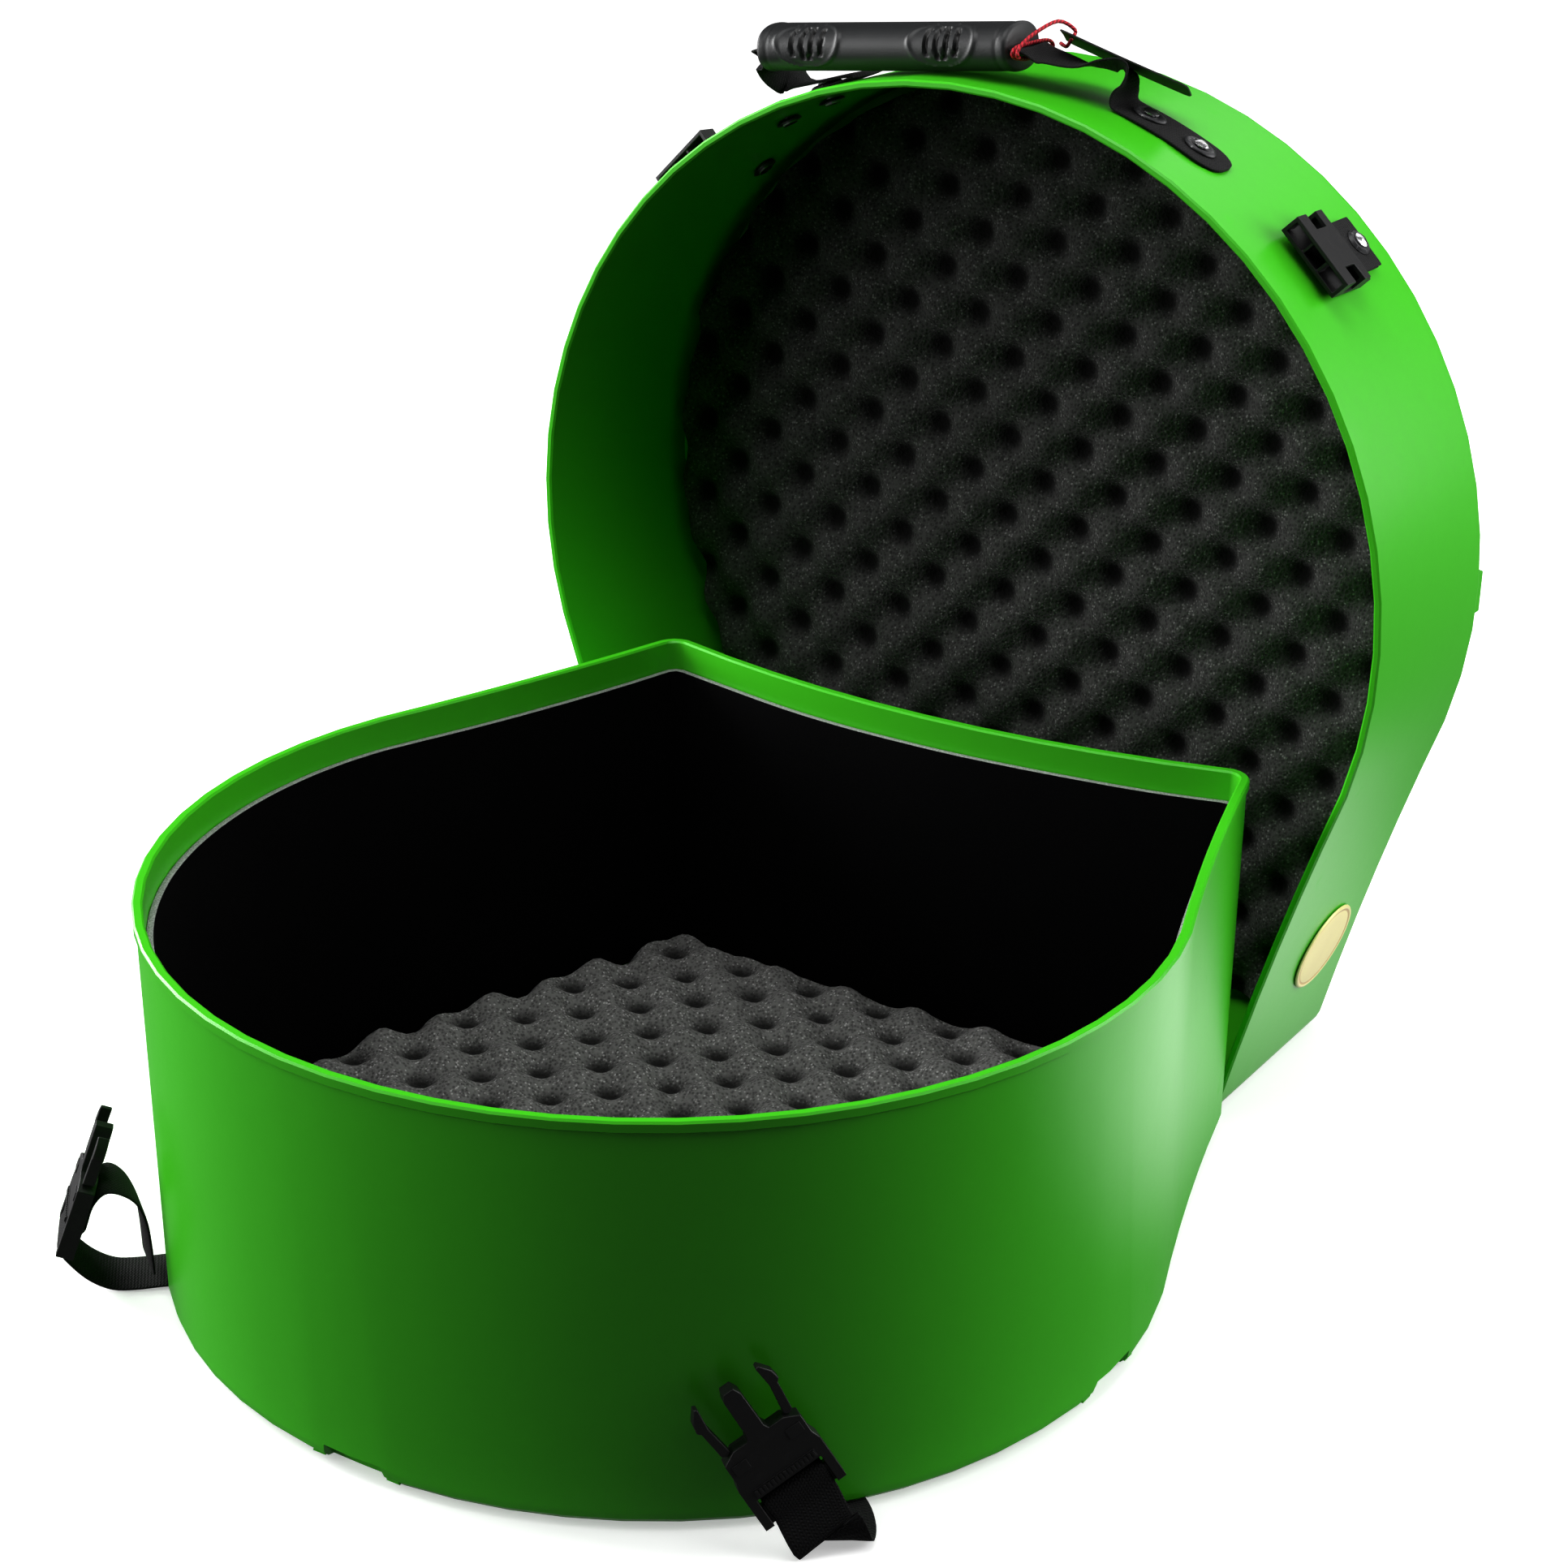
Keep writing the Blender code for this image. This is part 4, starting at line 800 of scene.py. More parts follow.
def foam_mesh(name, plan, bottom, direction, foam, matrix):
    """Egg-crate pad: rings shrink from the plan to its middle over a wavy top."""
    middle = Vector((0.0, FOAM_MIDDLE))
    rings = 72

    def crest(spot):
        x = math.cos(math.pi * spot.x / foam.pitch)
        y = math.cos(math.pi * (spot.y - FOAM_MIDDLE) / foam.pitch)
        return (0.5 + 0.5 * x * y) ** 0.75

    def top(spot):
        wander = noise.noise(Vector((spot.x * 18, spot.y * 18, bottom * 50))) * FOAM_WANDER
        return FOAM_BASE + FOAM_RELIEF * crest(spot) * 0.96 + wander - FOAM_SINK

    def pair(spot, height):
        # The lay holds the crest height, from which the finish paints shade into the dips.
        return matrix @ Vector((spot.x, spot.y, height)), (crest(spot), 0.0, 0.0)

    pairs = [pair(spot, bottom) for spot in plan]
    for ring in range(rings):
        round_over = FOAM_ROUND_OVER if ring == 0 else 0.0
        for spot in plan:
            here = middle.lerp(spot, 1.0 - ring / rings)
            pairs.append(pair(here, bottom + direction * (top(here) - round_over)))
    pairs.append(pair(middle, bottom + direction * top(middle)))
    count = len(plan)
    tip = len(pairs) - 1
    last = tip - count
    faces = [tuple(range(count))] + ring_faces(rings + 1, count)
    faces += [(last + i, last + (i + 1) % count, tip) for i in range(count)]
    return built_mesh(name, pairs, faces, FOAM_SHARP_ANGLE)


def colour_setting(name, description, default):
    return FloatVectorProperty(name=name, description=description, subtype="COLOR", size=3,
                               min=0.0, max=1.0, default=default)


def length_setting(name, description, default):
    return FloatProperty(name=name, description=description, subtype="DISTANCE", unit="LENGTH",
                         default=default)


def number_setting(name, description, default):
    return FloatProperty(name=name, description=description, default=default)


class ShellSettings(bpy.types.PropertyGroup):
    """Colour and gloss of the moulded shells."""
    lime: colour_setting("Lime", "Colour of the moulded shells", (0.060, 0.50, 0.014))
    gloss: FloatProperty(name="Roughness", description="How dull the moulded skin is",
                         min=0.05, max=1.0, default=0.30)


class FoamSettings(bpy.types.PropertyGroup):
    """Form and colour of the egg-crate foam; the floor's pad has a lit copy of its colour and the lid's
    a shaded copy, as painted light and shade.
    """
    pitch: length_setting("Pitch", "Distance from a peak to the next dip", 0.0185)
    # Lit copy and shaded copy of one foam colour: painted light and shade.
    lit_floor_foam_colour: colour_setting("Floor foam", "Colour of the floor's foam", (0.165, 0.165, 0.160))
    shaded_lid_foam_colour: colour_setting("Lid foam", "Colour of the lid's foam", (0.062, 0.062, 0.060))
    # The bright cell-edge colour is a painted highlight.
    painted_glint: colour_setting("Glint", "Colour of the bright cell edges", (0.42, 0.42, 0.41))
    around: IntProperty(name="Points around", description="Points round each pad's edge",
                        default=320)


class WebbingSettings(bpy.types.PropertyGroup):
    """Colour and weave of the straps."""
    colour: colour_setting("Webbing", "Colour of the yarn", (0.0045, 0.0045, 0.0050))
    rib: length_setting("Rib", "Distance between two ribs along the strap", 0.0013)
    yarn: length_setting("Yarn", "Width of one column of yarn", 0.0021)


class BuckleSettings(bpy.types.PropertyGroup):
    """Colour and edges of the moulded buckles."""
    colour: colour_setting("Acetal", "Colour of the buckles", (0.0080, 0.0080, 0.0086))
    edge: length_setting("Edge", "Easing of the buckles' edges", 0.0004)


class GripSettings(bpy.types.PropertyGroup):
    """Colour and relief of the handle's grip."""
    colour: colour_setting("Grip", "Colour of the soft grip", (0.0130, 0.0140, 0.0150))
    ring: length_setting("Ring", "Height of the oval rings on the grip", 0.0007)
    groove: length_setting("Groove", "Depth of the slots inside the rings", 0.0016)


class BadgeSettings(bpy.types.PropertyGroup):
    """Colours of the blank badge."""
    colour: colour_setting("Badge", "Colour of the plate", (0.95, 0.84, 0.38))
    # The line colour is painted shade in the groove inside the rim.
    line: colour_setting("Line", "Colour of the line inside its rim", (0.52, 0.33, 0.08))


class StageSettings(bpy.types.PropertyGroup):
    """Floor, light and lens."""
    floor: colour_setting("Floor", "Colour of the floor", (0.86, 0.86, 0.86))
    bounce: colour_setting("Bounce", "Light sent back up by the floor", (0.16, 0.16, 0.16))
    glow: number_setting("Glow", "How much the floor lights itself near the case", 0.42)
    gleam: number_setting("Gleam", "How bright the floor is in the case's gloss", 0.09)
    lights: number_setting("Lights", "Strength of all the softboxes together", 1.0)
    contrast: number_setting("Contrast", "Gamma of the picture", 0.85)
    lens: number_setting("Lens", "Focal length in millimetres", 79.087)


def settings_of(context, name):
    """The settings of one kind of piece, as shown in the panel."""
    return getattr(context.scene, f"drum_case_{name}")


class DrumCaseShells(bpy.types.Operator):
    """Finish the moulded base and lid"""
    bl_idname = "drum_case.shells"
    bl_label = "Shells"

    def execute(self, context):
        shells = ("base_shell", "lid_shell")
        dress_nodes(lime_finish(settings_of(context, "shell")), shells)
        smooth_nodes(shells)
        even_normals(shells)
        return {"FINISHED"}


class DrumCaseLining(bpy.types.Operator):
    """Line the base's wall, leaving the pale cut edge in view"""
    bl_idname = "drum_case.lining"
    bl_label = "Wall lining"

    def execute(self, context):
        count = 360
        outer = WALL + CLEARANCE
        inner = outer + LINING_THICKNESS
        edge = LINING_EDGE
        rows = []
        stations = ((LINING_LOW, outer), (LINING_HIGH - edge, outer), (LINING_HIGH, outer + edge),
                    (LINING_HIGH, inner - edge), (LINING_HIGH - edge, inner), (LINING_LOW, inner),
                    (LINING_LOW, outer))
        for height, inset in stations:
            row = []
            for spot in base_plan(height, inset, count):
                wave = 0.0
                if height > BASE_HEIGHT / 2:
                    wave = noise.noise(Vector((spot.x * 14, spot.y * 14, 0.3))) * LINING_WAVE
                    wave -= LINING_WAVE_DROP
                row.append(((spot.x, spot.y, height + wave), (0.0, 0.0, 0.0)))
            rows.append(row)
        mesh = mesh_from_rows("wall_lining", rows, caps=False)
        lining = add_piece("wall_lining", mesh, lining_finish(), "base",
                           ("base_wall_lining",))
        mesh.materials.append(cut_edge_finish())
        for face in mesh.polygons:
            if face.normal.z > 0.8:
                face.material_index = 1
        return {"FINISHED"}


class DrumCaseFoam(bpy.types.Operator):
    """Lay the egg-crate foam on the base's floor and on the lid's panel"""
    bl_idname = "drum_case.foam"
    bl_label = "Foam pads"

    def execute(self, context):
        foam = settings_of(context, "foam")
        # The floor's pad: the lit copy of the foam colour, painted light.
        look = foam_finish("lit_copy_floor_foam", foam.lit_floor_foam_colour, foam.painted_glint)
        bottom = FLOOR_THICKNESS + CLEARANCE
        inset = WALL + CLEARANCE + LINING_THICKNESS + FOAM_MARGIN
        plan = base_plan(bottom, inset, foam.around)
        mesh = foam_mesh("floor_foam", plan, bottom, 1, foam, Matrix())
        pad = add_piece("floor_foam", mesh, look, "base", ("base_floor_foam",))

        # The lid's pad: the shaded copy of the foam colour, with fewer painted highlight specks, as
        # painted shade.
        look = foam_finish("charcoal_foam", foam.shaded_lid_foam_colour, scaled(foam.painted_glint, LID_PAINTED_GLINT_SHARE))
        bottom = LID_DEPTH - WALL - CLEARANCE
        inset = WALL + FOAM_MARGIN + EDGE_RADIUS / 2
        plan = lid_plan(bottom, inset, foam.around)
        mesh = foam_mesh("panel_foam", plan, bottom, -1, foam, LID)
        pad = add_piece("panel_foam", mesh, look, "lid", ("lid_foam",))
        return {"FINISHED"}


def plug_place(word):
    """Frames of a strap's foot and of its plug: X along its bar, Y to its prongs, Z outward."""
    flat = base_wall_frame(STRAP_ANGLES[word]) @ Matrix.Rotation(-BASE_SLOPE, 4, "X")
    middle, turn, lean = PLUG_PLACES[word]
    return flat, (flat @ Matrix.Translation(middle) @ Matrix.Rotation(math.radians(turn), 4, "Z")
                  @ Matrix.Rotation(math.radians(lean), 4, "X"))


def strap_stations(word):
    """Route of a closure strap from under the base round its plug's bar and back."""
    flat, plug = plug_place(word)
    wide = Vector((1.0, 0.0, 0.0))
    plug_wide = plug.to_3x3() @ wide
    flat_wide = flat.to_3x3() @ wide
    lay = CLEARANCE + WEBBING_THICKNESS / 2
    under = RECESS_DEPTH - lay
    if word == "left":
        floor_run = [((0.0, 0.0016, 0.002), 0.0), ((0.0, 0.0011, 0.012), 0.0),
                     ((0.0, 0.0018, 0.021), 0.0), ((0.0, 0.0060, 0.029), 0.2),
                     ((0.0, 0.0125, 0.0355), 0.6)]
        tail_run = [((0.0, 0.0445, 0.0225), 0.3), ((0.0, 0.0440, 0.0175), 0.6),
                    ((0.0, 0.0390, 0.0120), 1.0), ((0.0, 0.0310, 0.0088), 1.0),
                    ((0.0, 0.0210, 0.0076), 1.0), ((0.0, 0.0070, 0.0070), 1.0)]
    else:
        floor_run = [((0.0, 0.0016, 0.002), 0.0), ((-0.002, 0.0011, 0.011), 0.0),
                     ((-0.007, 0.0022, 0.0195), 0.15), ((-0.0125, 0.0085, 0.0215), 0.6)]
        tail_run = []
    stations = [(flat @ Vector((0, under, -back)), flat_wide)
                for back in (STRAP_UNDER, STRAP_UNDER * 0.6, STRAP_UNDER * 0.25)]
    stations += [(flat @ Vector(spot), flat_wide.lerp(plug_wide, share))
                 for spot, share in floor_run]
    outer = PLUG_BAR_THICKNESS / 2 + lay
    back = -(PLUG_THICKNESS / 2 + lay)
    slot_middle = PLUG_BAR_HIGH + PLUG_SLOT / 2
    body_low = PLUG_BAR_HIGH + PLUG_SLOT
    wrap = [(-PLUG_BAR_LOW, outer), (0.0, outer), (PLUG_BAR_HIGH, outer + CLEARANCE / 2),
            (slot_middle - CLEARANCE, outer * 0.6), (slot_middle, 0.0),
            (slot_middle, back * 0.75), (body_low - CLEARANCE, back), (body_low + 0.0025, back),
            (PLUG_SHOULDER * 0.65, back)]
    stations += [(plug @ Vector((0.0, up, out)), plug_wide) for up, out in wrap]
    tail_wide = flat.to_3x3() @ Matrix.Rotation(TAIL_TURN, 3, "Y") @ wide
    stations += [(flat @ Vector(spot), plug_wide.lerp(tail_wide, share))
                 for spot, share in tail_run]
    return stations


class DrumCaseStraps(bpy.types.Operator):
    """Lay the closure straps from under the base through their buckle plugs"""
    bl_idname = "drum_case.straps"
    bl_label = "Closure straps"

    def execute(self, context):
        look = webbing_finish(settings_of(context, "webbing"))
        for word in STRAP_ANGLES:
            name = f"{word}_closure_strap"
            mesh = webbing_mesh(name, strap_stations(word))
            strap = add_piece(name, mesh, look, None, (f"strap_{word}_webbing",))
            foot = plug_place(word)[1].translation
            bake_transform(strap)
        for word, side in SIDES.items():
            name = f"{word}_socket_tab"
            mesh = webbing_mesh(name, tab_stations(side))
            add_piece(name, mesh, look, "lid", (f"socket_{word}_tab",))
        return {"FINISHED"}


def tab_stations(side):
    """Route of the folded tab that holds a buckle socket by its bar."""
    bar_height = 2 * CLEARANCE + WEBBING_THICKNESS + SOCKET_BAR_RADIUS
    place = (lid_wall_frame(side * SOCKET_ANGLE, SOCKET_BAR_DEPTH)
             @ Matrix.Translation((0, 0, bar_height)))
    wrap = SOCKET_BAR_RADIUS + CLEARANCE + WEBBING_THICKNESS / 2
    flat = SOCKET_TAB_END - SOCKET_BAR_DEPTH
    low = -wrap
    high = low + WEBBING_THICKNESS + CLEARANCE
    spots = [(flat, low), (flat / 2, low), (0.005, low)]
    for step in range(7):
        turn = math.radians(-90 - 30 * step)
        spots.append((wrap * math.cos(turn), wrap * math.sin(turn)))
    spots += [(0.005, wrap * 0.75), (0.0105, high + 0.0007), (0.014, high), (flat, high)]
    across = place.to_3x3() @ Vector((1.0, 0.0, 0.0))
    return [(place @ Vector((0.0, y, z)), across) for y, z in spots]


def teeth_mesh(name, place):
    """Row of small gripping teeth on a low ridge across the front of a buckle plug."""
    bm = bmesh.new()
    front = PLUG_THICKNESS / 2
    low = PLUG_BAR_HIGH + PLUG_SLOT + 0.0008
    sunk = front - 0.0004
    add_block(bm, (-0.0128, low, sunk), (0.0128, low + 0.0034, front + 0.0003))
    count = 15
    half = TOOTH_WIDTH / 2
    for step in range(count):
        x = TEETH_SPAN * (step / (count - 1) - 0.5)
        add_block(bm, (x - half, low + 0.0005, front), (x + half, low + 0.0029, front + 0.0009))
    for x in (-PLUG_PAD_PLACE, PLUG_PAD_PLACE):
        add_block(bm, (x - 0.0030, PLUG_SHOULDER - 0.0085, sunk),
                  (x + 0.0030, PLUG_SHOULDER - 0.0045, front + 0.0004))
    bm.transform(place)
    bmesh.ops.recalc_face_normals(bm, faces=bm.faces)
    mesh = bpy.data.meshes.new(name)
    bm.to_mesh(mesh)
    bm.free()
    return mesh


def add_block(bm, low, high):
    """A block between two corners, with eased edges."""
    low, high = Vector(low), Vector(high)
    made = bmesh.ops.create_cube(bm, size=1.0)["verts"]
    size = high - low
    for vert in made:
        vert.co = (low + high) / 2 + Vector((vert.co.x * size.x, vert.co.y * size.y,
                                             vert.co.z * size.z))
    edges = {edge for vert in made for edge in vert.link_edges}
    bmesh.ops.bevel(bm, geom=list(edges), offset=min(size) * 0.25, segments=2, profile=0.5,
                    affect="EDGES")


class DrumCaseBuckles(bpy.types.Operator):
    """Finish the buckle sockets, plugs and prongs, and add the plugs' gripping teeth"""
    bl_idname = "drum_case.buckles"
    bl_label = "Buckles"

    def execute(self, context):
        plastic = settings_of(context, "buckle")
        look = plastic_finish(plastic)
        for word in STRAP_ANGLES:
            prongs = [f"strap_{word}_latch_1", f"strap_{word}_latch_2"]
            moulded = [f"socket_{word}", f"strap_{word}_plug"] + prongs
            dress_nodes(look, moulded)
            smooth_nodes(moulded)
            soften_edges(moulded, plastic.edge)
            even_normals(moulded)
            mesh = teeth_mesh(f"{word}_plug_teeth", plug_place(word)[1])
            add_piece(f"{word}_plug_teeth", mesh, look, f"plug_{word}")
        return {"FINISHED"}


def on_lid_wall(angle, height=CLEARANCE + WEBBING_THICKNESS / 2, depth=HANDLE_DEPTH):
    """A webbing station lying on the lid's round wall."""
    place = lid_wall_frame(angle, depth)
    return place @ Vector((0.0, 0.0, height)), place.to_3x3() @ Vector((0.0, 1.0, 0.0))


def grip_place():
    """Frame of the grip: X along it, Z towards the lid's panel."""
    x, up, depth = GRIP_CENTRE
    return LID @ Matrix.Translation((x, -up, depth)) @ Matrix.Rotation(-GRIP_SLOPE, 4, "Z")


def grip_stations(shares, across):
    """Webbing stations on the grip's middle line, from -0.5 at its left end to 0.5 at its right."""
    place = grip_place()
    return [(place @ Vector((GRIP_LENGTH * share, 0, 0)), across) for share in shares]


def tab_angles():
    """Angles along a handle tab, from its loop to its end."""
    return [HANDLE_TAB_START + (HANDLE_TAB_END - HANDLE_TAB_START) * step / 8 for step in range(9)]


def left_handle_stations():
    """The handle strap from its left tab, back over itself and into the grip."""
    stations = [on_lid_wall(HANDLE_MIDDLE_ANGLE - angle) for angle in reversed(tab_angles())]
    slack = [(-16.0, 0.0017, 0.042), (-18.0, 0.0028, 0.042), (-20.5, 0.0038, 0.042),
             (-23.2, 0.0050, 0.042), (-25.4, 0.0072, 0.0415)]
    for angle, height, depth in slack:
        stations.append(on_lid_wall(HANDLE_MIDDLE_ANGLE + angle, height, depth))
    across = LID.to_3x3() @ Vector((0.0, 0.0, 1.0))
    turn = [(-0.1034, 0.1958, 0.0395), (-0.1048, 0.1998, 0.0350), (-0.1050, 0.2042, 0.0300),
            (-0.1042, 0.2080, 0.0270)]
    stations += [(lid_point(*spot), across) for spot in turn]
    return stations + grip_stations((-0.5, -0.25, 0.0), across)


def right_handle_stations():
    """The handle strap from the grip, in a loose wave, to its right tab."""
    turned = LID.to_3x3()
    stations = grip_stations((0.0, 0.25, 0.5), turned @ Vector((0.0, 0.0, 1.0)))
    slack = [((0.0300, 0.2200, 0.029), (0.0, 0.0, 1.0)),
             ((0.0430, 0.2170, 0.034), (-0.1, 0.1, 1.0)),
             ((0.0520, 0.2175, 0.038), (-0.25, 0.3, 0.9)),
             ((0.0588, 0.2165, 0.041), (-0.35, 0.4, 0.85)),
             ((0.0610, 0.2115, 0.042), (-0.2, 0.2, 0.95)),
             ((0.0598, 0.2062, 0.042), (0.0, 0.0, 1.0))]
    stations += [(lid_point(*spot), turned @ Vector(direction)) for spot, direction in slack]
    stations.append(on_lid_wall(HANDLE_MIDDLE_ANGLE + HANDLE_TAB_START - 1.0,
                                2 * CLEARANCE + WEBBING_THICKNESS))
    stations += [on_lid_wall(HANDLE_MIDDLE_ANGLE + angle) for angle in tab_angles()]
    return stations


def grip_relief(x, arc, grip):
    """Height of the grip's skin over its plain oval: end lips, oval rings and curved slots."""
    height = 0.0
    end = GRIP_LENGTH / 2 - abs(x)
    height += 0.0002 * math.exp(-((end - 0.0022) / 0.0016) ** 2)
    height -= 0.0003 * math.exp(-((end - 0.0052) / 0.0007) ** 2)
    for middle in GRIP_RINGS:
        round_it = math.hypot((x - middle) / RING_HALF_LENGTH, arc / RING_HALF_WIDTH)
        height += grip.ring * math.exp(-((round_it - 0.94) / 0.055) ** 2)
        for offset in SLOT_OFFSETS:
            bow = math.copysign(SLOT_BOW, offset)
            away = abs(x - middle - offset + bow * (arc / 0.008) ** 2) / SLOT_HALF_WIDTH
            reach = 0.0088 * math.sqrt(max(0.0, 1 - (offset / 0.0125) ** 2))
            along = max(0.0, abs(arc) - reach + 0.0012) / 0.0012
            height -= grip.groove * max(0.0, 1 - away ** 4) * max(0.0, 1 - along ** 2)
    return height


def grip_mesh(name, grip):
    """Soft oval grip built as rings along its length."""
    place = grip_place()
    around = 84
    steps = 176
    section = []
    for step in range(around):
        turn = 2 * math.pi * step / around
        section.append(Vector((-GRIP_HALF_HEIGHT * squarer(math.cos(turn), 0.86),
                               -GRIP_HALF_DEPTH * squarer(math.sin(turn), 0.86))))
    arcs = [0.0]
    for start, end in zip(section, section[1:]):
        arcs.append(arcs[-1] + (end - start).length)
    facing = round(around * GRIP_FACING / 360)
    rows = []
    for step in range(steps + 1):
        x = GRIP_LENGTH * (step / steps - 0.5)
        ease = max(0.0, 1 - (GRIP_LENGTH / 2 - abs(x)) / 0.0016)
        shrink = 1 - 0.11 * ease ** 2
        row = []
        for spot, arc in zip(section, arcs):
            relief = grip_relief(x, arc - arcs[facing], grip)
            outward = Vector((spot.x / GRIP_HALF_HEIGHT ** 2, spot.y / GRIP_HALF_DEPTH ** 2))
            here = spot * shrink + outward.normalized() * relief
            # The lay's third number is the relief, from which the finish paints shade into the slots.
            row.append((place @ Vector((x, here.x, here.y)), (x, arc, relief)))
        rows.append(row)
    return mesh_from_rows(name, rows)


class DrumCaseHandle(bpy.types.Operator):
    """Make the handle's webbing in two halves that meet inside the grip, and the grip"""
    bl_idname = "drum_case.handle"
    bl_label = "Handle"

    def execute(self, context):
        look = webbing_finish(settings_of(context, "webbing"))
        mesh = webbing_mesh("left_handle_strap", left_handle_stations())
        strap = add_piece("left_handle_strap", mesh, look, None, ("handle_webbing",))
        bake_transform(strap)
        mesh = webbing_mesh("right_handle_strap", right_handle_stations(), 6, 0.012)
        strap = add_piece("right_handle_strap", mesh, look, None, ("handle_webbing",))
        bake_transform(strap)
        grip = settings_of(context, "grip")
        add_piece("soft_grip", grip_mesh("soft_grip", grip), rubber_finish(grip), "handle",
                  ("handle_grip",))
        return {"FINISHED"}


def cup_mesh(name, place):
    """Oval cup washer: rings of (reach, height) over its rim, into its dish and down its hole."""
    profile = ((1.0, 0.0), (1.01, 0.0003), (0.94, 0.0009), (0.84, 0.0012), (0.74, 0.0011),
               (0.60, 0.0006), (0.50, 0.0004), (CUP_HOLE, 0.0004), (CUP_HOLE, 0.0), (1.0, 0.0))
    bottom = 2 * CLEARANCE + WEBBING_THICKNESS
    ovals = [((reach - CUP_HOLE) * CUP_LONG_REACH + CUP_HOLE * CUP_SHORT_REACH,
              reach * CUP_SHORT_REACH, bottom + height, 0.0) for reach, height in profile]
    return mesh_from_rows(name, oval_rows(place, ovals, 40), caps=False)


class DrumCaseFasteners(bpy.types.Operator):
    """Finish the rivets and washers, and set oval cups under the handle's rivets"""
    bl_idname = "drum_case.fasteners"
    bl_label = "Rivets and washers"

    def execute(self, context):
        steel = steel_finish()
        dark = washer_finish()
        rivets = [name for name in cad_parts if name.endswith("_rivet")]
        washers = [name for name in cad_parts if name.endswith(("_washer", "_backing"))]
        dress_nodes(steel, rivets)
        dress_nodes(dark, washers)
        smooth_nodes(rivets + washers)
        for word, side in SIDES.items():
            for number, share in enumerate(HANDLE_RIVETS, start=1):
                place = lid_wall_frame(HANDLE_MIDDLE_ANGLE + side * share, HANDLE_DEPTH)
                name = f"handle_{word}_{number}_cup"
                add_piece(name, cup_mesh(name, place), dark, "lid",
                          (f"handle_{word}_{number}_washer",))
        return {"FINISHED"}


def badge_place():
    """Frame of the badge on the lid's straight side: X along it, Y towards the panel."""
    flat = BASE_FLAT_END + LID_EXTRA_LENGTH
    angle = side_normal_angle(flat)
    out = Vector((math.cos(angle), math.sin(angle), 0.0))
    along = Vector((-math.sin(angle), math.cos(angle), 0.0))
    up = Vector((0.0, 0.0, 1.0))
    length = LID_FLAT_END / math.cos(angle) - LID_RADIUS * math.tan(angle)
    travel = (BADGE_ALONG - LID_RADIUS * math.sin(angle)) / math.cos(angle)
    share = travel / length
    hollow = SIDE_HOLLOW * 4 * share * (1 - share)
    radius = LID_RADIUS - LID_DRAFT * BADGE_DEPTH / LID_DEPTH - hollow
    spot = out * (radius + 2 * CLEARANCE) + along * travel + up * BADGE_DEPTH
    slope = math.atan(SIDE_HOLLOW * 4 * (1 - 2 * share) / length)
    return (LID @ Matrix.Translation(spot) @ axes(along, up, out)
            @ Matrix.Rotation(slope, 4, "Y") @ Matrix.Rotation(-LID_LEAN, 4, "X"))


class DrumCaseBadge(bpy.types.Operator):
    """Make the blank oval badge with its rolled rim"""
    bl_idname = "drum_case.badge"
    bl_label = "Badge"

    def execute(self, context):
        profile = ((0.002, 0.0), (0.6, 0.0), (0.985, 0.0), (1.0, 0.00025), (0.995, 0.0007),
                   (0.975, 0.0011), (0.945, 0.0012), (0.92, 0.00105), (0.895, 0.0008),
                   (0.865, 0.0009), (0.84, 0.00098), (0.6, 0.00105), (0.3, 0.0011), (0.002, 0.0011))
        ovals = [(reach * BADGE_HEIGHT / 2, reach * BADGE_WIDTH / 2, height, reach)
                 for reach, height in profile]
        mesh = mesh_from_rows("blank_badge", oval_rows(badge_place(), ovals, 64))
        add_piece("blank_badge", mesh, gold_finish(settings_of(context, "badge")), "lid",
                  ("lid_badge",))
        return {"FINISHED"}


def tag_place():
    """Frame of the tag at its hole: X along the card, Y across it."""
    start = LID.inverted() @ lid_point(0.0300, 0.2275, 0.040)
    end = LID.inverted() @ lid_point(0.0850, 0.2070, 0.052)
    along = (end - start).normalized()
    across = Vector((-0.42, 0.42, 0.80))
    across = (across - along * across.dot(along)).normalized()
    across = Matrix.Rotation(TAG_TURN, 3, along) @ across
    hole = (start + end) / 2 - along * (TAG_LENGTH / 2 - TAG_HOLE_INSET)
    return LID @ Matrix.Translation(hole) @ axes(along, across, along.cross(across))


